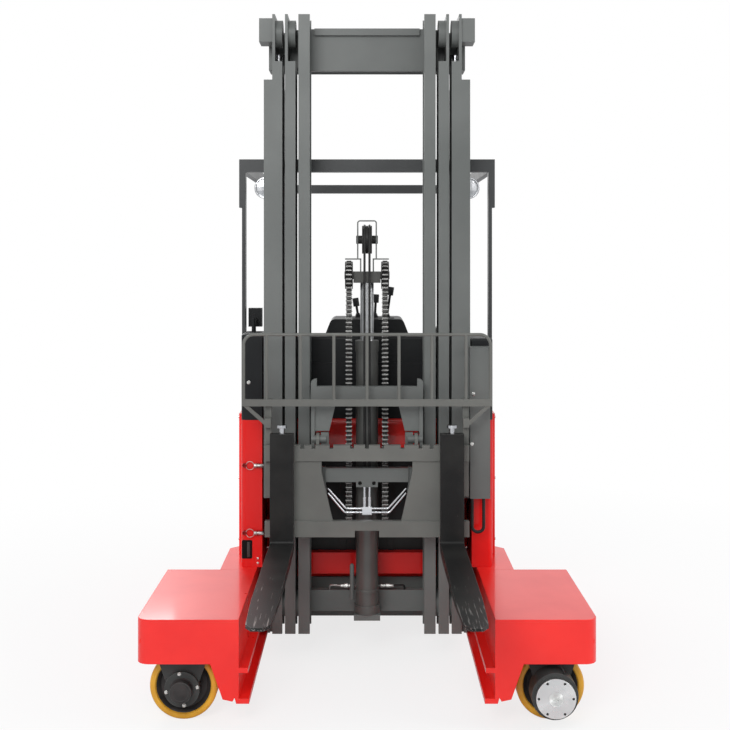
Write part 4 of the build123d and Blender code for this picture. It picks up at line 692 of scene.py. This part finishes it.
# The shell behind the back rest: a shallow dish, bowed across by the root of a cosine, flat at its ends
shell_columns, shell_levels = 25, 15
shell_back = 0.0115
shell_foot, shell_height = 1.010, 0.535
shell_half, shell_taper, shell_depth = 0.215, 0.03, 0.010
turn = np.linspace(-math.pi / 2, math.pi / 2, shell_columns)
height = np.linspace(0, 1, shell_levels)[:, None]
shell_points = np.stack(
    [back_low[0] + shell_back - shell_depth * (1 - (2 * height - 1) ** 6) * np.cos(turn) ** 0.5,
     seat_middle_y + (shell_half - shell_taper * height ** 3) * np.sin(turn),
     0 * turn + shell_foot + shell_height * height], axis=-1)
level, column = np.meshgrid(np.arange(shell_levels - 1), np.arange(shell_columns - 1), indexing="ij")
a = level * shell_columns + column
shell_faces = np.stack([a, a + shell_columns, a + shell_columns + 1, a + 1], axis=-1).reshape(-1, 4)
shell = solid("seat_shell", shell_points, shell_faces.tolist(), plastic, "chassis", 60)
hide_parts("seat_back")

# Steering wheel and levers. A soft moulded grip over the wheel's steel ring, a domed boss, and ribbed
# rubber boots that seal the levers' slots in the hood.
grip = coated("soft_grip", (0.016, 0.016, 0.017), (0.022, 0.022, 0.023), (0.03, 0.03, 0.03),
              0.55, 0.2, skin=(1400.0, 0.35), patches=20.0)
wheel_middle = (0.380, 0.700, 1.400)
wheel_lean = np.array((-0.5, 0.0, 0.8660254))
rim_radius, grip_thick = 0.147, 0.0134
around_rim = np.linspace(0, 2 * math.pi, 21)
grip_profile = np.stack([grip_thick * np.sin(around_rim), rim_radius + grip_thick * np.cos(around_rim)],
                        axis=-1)
rim_grip = solid("steering_grip", *turned(grip_profile, wheel_middle, wheel_lean, 96), grip, "chassis",
                 80.0)
boss = solid("steering_boss",
             *turned([(0.0098, 0.0345), (0.014, 0.0340), (0.020, 0.0300), (0.0235, 0.0200),
                      (0.0245, 0.0001)], wheel_middle, wheel_lean, 48), plastic, "chassis", 60.0)
hood_top = 1.489
lever_y = 0.290
fold = np.linspace(0, 1, 41)
boot_profile = np.stack([-0.001 + 0.022 * fold, 0.018 - 0.010 * fold + 0.0018 * np.sin(fold * 8 * math.pi)],
                        axis=-1)
dome = np.linspace(0, math.pi / 2, 7)
# Each lever: name, foot X, lean in degrees, height of its top
for name, foot_x, lean, top_z in (("first", -0.042, -9, 1.583), ("second", 0.038, 3, 1.600),
                                  ("third", 0.096, 8, 1.637)):
    tilt = math.radians(lean)
    direction = (math.sin(tilt), 0, math.cos(tilt))
    boot = solid(f"{name}_lever_boot", *turned(boot_profile, (foot_x, lever_y, hood_top), direction, 40),
                 grip, "chassis", 80.0)
    length = top_z - hood_top
    knob = [(length - 0.041, 0.0065), (length - 0.0405, 0.0130)]
    knob += [(length - 0.008 + 0.0081 * math.sin(a), 0.0075 + 0.0080 * math.cos(a)) for a in dome]
    knob.append((length + 0.0001, 0.0001))
    knob_top = solid(f"{name}_lever_knob", *turned(knob, (foot_x, lever_y, hood_top), direction, 40),
                     grip, "chassis", 60.0)

# Work lamps. A fluted clear lens over a bright reflector, in a bright pressed rim with a black bowl
# behind, one on each front post of the guard.
lamp_x, lamp_front_y, lamp_z = 0.468, 0.033, 2.099
reflector = bpy.data.materials.new("lamp_reflector")
reflector.use_nodes = True
tree = reflector.node_tree
shader = tree.nodes["Principled BSDF"]
shader.inputs["Roughness"].default_value = 0.12
shader.inputs["Metallic"].default_value = 0.6
shader.inputs["Coat Weight"].default_value = 1.0
coords = node(tree, "TexCoord")
flutes = node(tree, "TexWave", {"Scale": 55.0})
glass_tint = node(tree, "Mix", {"A": (0.88, 0.89, 0.90, 1), "B": (0.62, 0.64, 0.67, 1)}, data_type="RGBA")
flute_relief = node(tree, "Bump", {"Strength": 0.5, "Distance": 0.001})
join(tree, [
    (coords.outputs["Object"], flutes.inputs["Vector"]),
    (flutes.outputs["Fac"], glass_tint.inputs["Factor"]),
    (glass_tint.outputs["Result"], shader.inputs["Base Color"]),
    (flutes.outputs["Fac"], flute_relief.inputs["Height"]),
    (flute_relief.outputs["Normal"], shader.inputs["Normal"])])
rise = np.linspace(1, 0, 9)
for side, name in ((-1, "left"), (1, "right")):
    face = (side * lamp_x, lamp_front_y, lamp_z)
    lens = solid(f"lamp_lens_{name}",
                 *turned(np.stack([-0.0055 + 0.0050 * (1 - rise ** 2), np.maximum(0.0425 * rise, 0.0001)],
                                  axis=-1), face, (0, -1, 0), 64), reflector, "chassis", 60.0)
    rim = solid(f"lamp_rim_{name}",
                *turned([(-0.006, 0.0425), (0.0000, 0.0432), (0.0004, 0.0445), (0.0004, 0.0485),
                         (-0.0010, 0.0503), (-0.012, 0.0503), (-0.012, 0.0490)], face, (0, -1, 0), 64),
                chrome, "chassis", 50.0)

# Column fittings. Two spring latches on the left column, each a plated plunger with a knurled collar and
# a split ring to pull it by, a pivot pin in front of a black plate of painted shade for the slot at the
# column's foot, and a cupboard lock.
latch_steel = coated("latch_steel", (0.52, 0.52, 0.50), (0.30, 0.30, 0.29), (0.8, 0.8, 0.8),
                     0.30, 0.5, metal=0.9, skin=(900.0, 0.5), patches=45.0)
socket_red = coated("socket_red", (0.30, 0.006, 0.006), (0.22, 0.005, 0.005), (0.6, 0.05, 0.04),
                    0.45, 0.3)
ring_turn = np.linspace(0, 2 * math.pi, 13)
latch_y = -0.198
column_front = -0.187
ring_wire, ring_radius = 0.0013, 0.0180
ring_profile = np.stack([ring_wire * np.sin(ring_turn), ring_radius + ring_wire * np.cos(ring_turn)],
                        axis=-1)
plunger_profile = [(0.0, 0.0001), (0.0, 0.0085), (0.002, 0.0100), (0.011, 0.0100), (0.012, 0.0066),
                   (0.016, 0.0066), (0.017, 0.0088), (0.040, 0.0080), (0.043, 0.0062), (0.043, 0.0001)]
for name, latch_z in (("upper", 0.863), ("lower", 0.566)):
    plunger = solid(f"latch_plunger_{name}",
                    *turned(plunger_profile, (-0.497, latch_y, latch_z), (1, 0, 0), 20),
                    latch_steel, "chassis", 30.0)
    latch_ring = solid(f"latch_ring_{name}",
                       *turned(ring_profile, (-0.5150, latch_y, latch_z), (0.10, 0.995, 0), 48),
                       latch_steel, "chassis", 80.0)
    socket = solid(f"latch_socket_{name}",
                   *turned([(-0.001, 0.0100), (0.010, 0.0095), (0.011, 0.0085), (0.011, 0.0060),
                            (0.004, 0.0055), (0.004, 0.0001)], (-0.5400, column_front, latch_z),
                           (0, -1, 0), 24), socket_red, "chassis", 30.0)
    tongue = solid(f"latch_guide_{name}",
                   *turned([(-0.001, 0.0110), (0.008, 0.0105), (0.011, 0.0080), (0.011, 0.0001)],
                           (-0.4790, column_front, latch_z), (0, -1, 0), 6), socket_red, "chassis", 30.0)
    for piece in (plunger, latch_ring, socket, tongue):
        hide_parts("latch_pins")


def rounded_plate(name, middle, across, up, width, height, corner, thick, material, body, edge=0.0008):
    """A plate w by h whose corners are arcs of radius r, chamfered round its front, standing on middle.

    The outline is (w/2 - r) + r cos t, (h/2 - r) + r sin t in each quarter, and out = across x up.
    """
    middle, across, up = (np.array(v, dtype=float) for v in (middle, across, up))
    out = np.cross(across, up)
    t = np.concatenate([np.linspace(q, q + 1, 7) for q in range(4)]) * math.pi / 2
    quarter = np.repeat([(1, 1), (-1, 1), (-1, -1), (1, -1)], 7, axis=0)
    rings = []
    for inset, level in ((0, 0), (0, thick - edge), (edge, thick)):
        flat = (quarter * (np.array((width, height)) / 2 - corner)
                + max(corner - inset, 0.0001) * np.stack([np.cos(t), np.sin(t)], axis=-1))
        rings.append(middle + flat[:, :1] * across + flat[:, 1:] * up + level * out)
    count = len(t)
    ring = np.arange(count)
    after = (ring + 1) % count
    wall = np.stack([ring, after, after + count, ring + count], axis=-1)
    faces = wall.tolist() + (wall + count).tolist() + [(ring + 2 * count).tolist()]
    return solid(name, np.concatenate(rings), faces, material, body, 30.0)


# Near black: the hood's switch panel, and painted shade in the column's slot and the doors' louvre gaps.
black_and_painted_shade = coated("black_and_painted_shade", (0.006, 0.006, 0.006), (0.010, 0.009, 0.009), (0.03, 0.03, 0.03),
                   0.6, 0.2, shine=0.1)
# The slot at the column's foot: a thin black plate of painted shade.
foot_slot = rounded_plate("column_foot_slot", (-0.529, column_front, 0.492), (1, 0, 0), (0, 0, 1), 0.046,
                          0.082, 0.006, 0.0012, black_and_painted_shade, "chassis")
foot_pin = solid("column_foot_pin",
                 *turned([(0.0, 0.0001), (0.0, 0.0065), (0.002, 0.0075), (0.064, 0.0075), (0.066, 0.0065),
                          (0.066, 0.0001)], (-0.521, column_front - 0.0078, 0.460), (0, 0, 1), 24),
                 yoke_grey, "chassis", 30.0)
screws("column_screws", [(-0.482, column_front, 0.432), (-0.482, column_front, 0.452)], (0, -1, 0), 0.008,
       zinc, "chassis")
screws("cupboard_lock", [(-0.522, column_front, 1.228)], (0, -1, 0), 0.013, zinc, "chassis", 20)
cover_front = -0.250
screws("hose_cover_screws", [(0.4568, cover_front, 0.9666), (0.4640, cover_front, 1.1850)], (0, -1, 0),
       0.0125, zinc, "mast_outer", 20)

# Pipes at the mast's foot. Bent steel pipes come up out of the lower tie and meet behind the free lift
# cylinder in plated unions, and a bleed pipe stands against the cylinder's side.
tie_y, tie_top = -0.057, 0.270
union_z = 0.298


def pipe(name, path, radius, material, body):
    """A round tube along a smooth NURBS line through the neighbourhood of a few points."""
    line = bpy.data.curves.new(name, "CURVE")
    line.dimensions = "3D"
    line.bevel_depth = radius
    line.bevel_resolution = 4
    line.use_fill_caps = True
    spline = line.splines.new("NURBS")
    spline.points.add(len(path) - 1)
    through = np.column_stack([np.array(path, dtype=float), np.ones(len(path))])
    spline.points.foreach_set("co", through.ravel())
    spline.order_u = 3
    spline.use_endpoint_u = True
    spline.resolution_u = 8
    line.materials.append(material)
    made = bpy.data.objects.new(name, line)
    scene.collection.objects.link(made)
    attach(made, body)
    return made


for side, name in ((-1, "left"), (1, "right")):
    pipe(f"foot_pipe_{name}",
         [(side * 0.170, tie_y, tie_top - 0.006), (side * 0.170, tie_y, tie_top + 0.012),
          (side * 0.168, tie_y - 0.004, union_z), (side * 0.140, tie_y - 0.010, union_z),
          (side * 0.115, tie_y - 0.016, union_z)],
         0.0042, latch_steel if side < 0 else rubber, "mast_inner")
    union = solid(f"foot_union_{name}",
                  *turned([(0.0, 0.0001), (0.0, 0.0052), (0.004, 0.0068), (0.016, 0.0068), (0.017, 0.0100),
                           (0.034, 0.0100), (0.036, 0.0078), (0.066, 0.0078), (0.066, 0.0001)],
                          (side * 0.120, tie_y - 0.016, union_z), (-side, 0, 0), 6), latch_steel,
                  "mast_inner", 30.0)
port = solid("cylinder_port",
             *turned([(0.0, 0.0001), (0.0, 0.020), (0.002, 0.022), (0.030, 0.022), (0.030, 0.0001)],
                     (0, -0.0945, union_z), (0, 1, 0), 6), cylinder_grey, "mast_inner", 30.0)
port_bar = solid("port_bar",
                 *turned([(0.0, 0.0001), (0.0, 0.0070), (0.002, 0.0080), (0.124, 0.0080), (0.124, 0.0001)],
                         (-0.062, tie_y - 0.016, union_z), (1, 0, 0), 20),
                 cylinder_grey, "mast_inner", 30.0)
bleed = solid("bleed_pipe",
              *turned([(0.0, 0.0001), (0.0, 0.0092), (0.002, 0.0100), (0.146, 0.0100), (0.153, 0.0078),
                       (0.157, 0.0040), (0.158, 0.0001)], (-0.0668, -0.150, 0.262), (0, 0, 1), 24), grey,
              "mast_inner", 40.0)

# Brake cable. A short black cable on the right yoke, held at both ends, that drops from under the yoke's
# plate into the wheel brake's housing.
pipe("brake_cable", [(0.722, -0.866, 0.300), (0.723, -0.872, 0.264), (0.727, -0.890, 0.238),
                     (0.741, -0.912, 0.228), (0.745, -0.912, 0.202)], 0.0027, rubber, "yoke_right")

# Body covers. On each side a pressed service door with screws and louvres, whose gaps are thin black
# strips of painted shade, a switch panel on the hood, the display's glass and a ribbed mat on the cab floor.
door_y, door_z = (0.060, 0.470), (0.450, 1.060)
body_x = 0.588
door_thick = 0.0022
door_width, door_height = door_y[1] - door_y[0], door_z[1] - door_z[0]
door_middle_y, door_middle_z = sum(door_y) / 2, sum(door_z) / 2
screw_inset = 0.022
for side, name in ((-1, "left"), (1, "right")):
    door_face = side * (body_x + door_thick)
    door = rounded_plate(f"service_door_{name}", (side * body_x, door_middle_y, door_middle_z), (0, side, 0),
                         (0, 0, 1), door_width, door_height, 0.030, door_thick, red, "chassis")
    # Louvres: black strips of painted shade where the gaps are.
    for number in range(7):
        louvre_z = 0.900 - 0.030 * number
        louvre = rounded_plate(f"louvre_{name}_{number}", (door_face, door_middle_y, louvre_z),
                               (0, side, 0), (0, 0, 1), 0.260, 0.011, 0.0050, 0.0008, black_and_painted_shade, "chassis",
                               0.0003)
    screws(f"door_screws_{name}",
           [(door_face, y, z) for y in (door_y[0] + screw_inset, door_y[1] - screw_inset)
            for z in (door_z[0] + screw_inset, door_middle_z, door_z[1] - screw_inset)],
           (side, 0, 0), 0.012, zinc, "chassis", 20)
hood_panel = rounded_plate("hood_panel", (0.030, 0.215, hood_top), (1, 0, 0), (0, 1, 0), 0.200, 0.060,
                           0.010, 0.0020, black_and_painted_shade, "chassis")
stop_red = coated("stop_button", (0.80, 0.015, 0.012), (0.70, 0.012, 0.010), (0.9, 0.1, 0.1), 0.30,
                  0.2, coat=0.4)
stop = solid("stop_button",
             *turned([(0.0, 0.0095), (0.010, 0.0095), (0.011, 0.0175), (0.016, 0.0185), (0.021, 0.0165),
                      (0.0245, 0.0100), (0.0255, 0.0001)], (0.0, 0.215, hood_top + 0.002), (0, 0, 1), 40),
             stop_red, "chassis", 40.0)
key_switch = solid("key_switch",
                   *turned([(0.0, 0.0120), (0.004, 0.0120), (0.005, 0.0100), (0.005, 0.0030),
                            (0.003, 0.0028), (0.003, 0.0001)], (0.085, 0.215, hood_top + 0.002), (0, 0, 1),
                           32), zinc, "chassis", 30.0)
glass = coated("display_glass", (0.010, 0.014, 0.016), (0.014, 0.018, 0.020), (0.03, 0.03, 0.03),
               0.10, 0.2, coat=0.8, patches=30.0)
screen = rounded_plate("display_glass", (-0.518, 0.100, 1.503), (-1, 0, 0), (0, 0, 1), 0.050, 0.068, 0.004,
                       0.0008, glass, "chassis")
mat_rubber = coated("mat_rubber", (0.020, 0.020, 0.020), (0.034, 0.033, 0.031), (0.06, 0.06, 0.06),
                    0.6, 0.4, skin=(700.0, 0.3), patches=12.0, shine=0.2)
floor_mat = rounded_plate("floor_mat", (0.160, 0.930, 0.640), (1, 0, 0), (0, 1, 0), 0.420, 0.800, 0.030,
                          0.0040, mat_rubber, "chassis")
for number in range(9):
    rib = rounded_plate(f"mat_rib_{number}", (0.160, 0.610 + 0.080 * number, 0.644), (1, 0, 0), (0, 1, 0),
                        0.360, 0.018, 0.008, 0.0020, mat_rubber, "chassis")

# Forks. Forged steel blades hung on the carriage's bars, in black paint that pallets have scuffed along
# the top and bared at the tips. The much lighter edges are partly worn paint and partly a painted
# highlight along the edges.
forged = coated("forged_black", (0.012, 0.012, 0.012), (0.020, 0.020, 0.019), (0.20, 0.19, 0.18),
                0.40, 0.9, skin=(180.0, 0.35), patches=6.0, shine=0.15)
tree = forged.node_tree
shader = tree.nodes["Principled BSDF"]
painted = shader.inputs["Base Color"].links[0].from_socket
coords = node(tree, "TexCoord")
stretch = node(tree, "Mapping", {"Scale": (60.0, 3.0, 60.0)})
scrape = node(tree, "TexNoise", {"Scale": 2.5, "Detail": 8.0})
place_at = node(tree, "SeparateXYZ")
toward_tip = node(tree, "MapRange", {"From Min": -0.55, "From Max": -1.45, "To Min": 0.74, "To Max": 0.57})
streaks = node(tree, "Math", operation="SUBTRACT")
sharp = node(tree, "MapRange", {"From Max": 0.08})
bared = node(tree, "Mix", {"B": (0.26, 0.25, 0.24, 1)}, data_type="RGBA")
join(tree, [
    (coords.outputs["Object"], stretch.inputs["Vector"]),
    (coords.outputs["Object"], place_at.inputs[0]),
    (stretch.outputs[0], scrape.inputs["Vector"]),
    (place_at.outputs["Y"], toward_tip.inputs["Value"]),
    (scrape.outputs["Fac"], streaks.inputs[0]),
    (toward_tip.outputs["Result"], streaks.inputs[1]),
    (streaks.outputs[0], sharp.inputs["Value"]),
    (sharp.outputs["Result"], bared.inputs["Factor"]),
    (painted, bared.inputs["A"]),
    (bared.outputs["Result"], shader.inputs["Base Color"]),
    (sharp.outputs["Result"], shader.inputs["Metallic"])])
wear(forged, "fork_left", "fork_right")

# Drive wheel. A plain rubber tyre with chamfered shoulders on a cast hub, under the rear of the body,
# dull and dusty from the yard.
tread = coated("drive_tread", (0.020, 0.020, 0.020), (0.036, 0.035, 0.033), (0.06, 0.06, 0.06),
               0.65, 0.4, skin=(500.0, 0.3), patches=18.0)
wear(tread, "drive_wheel")
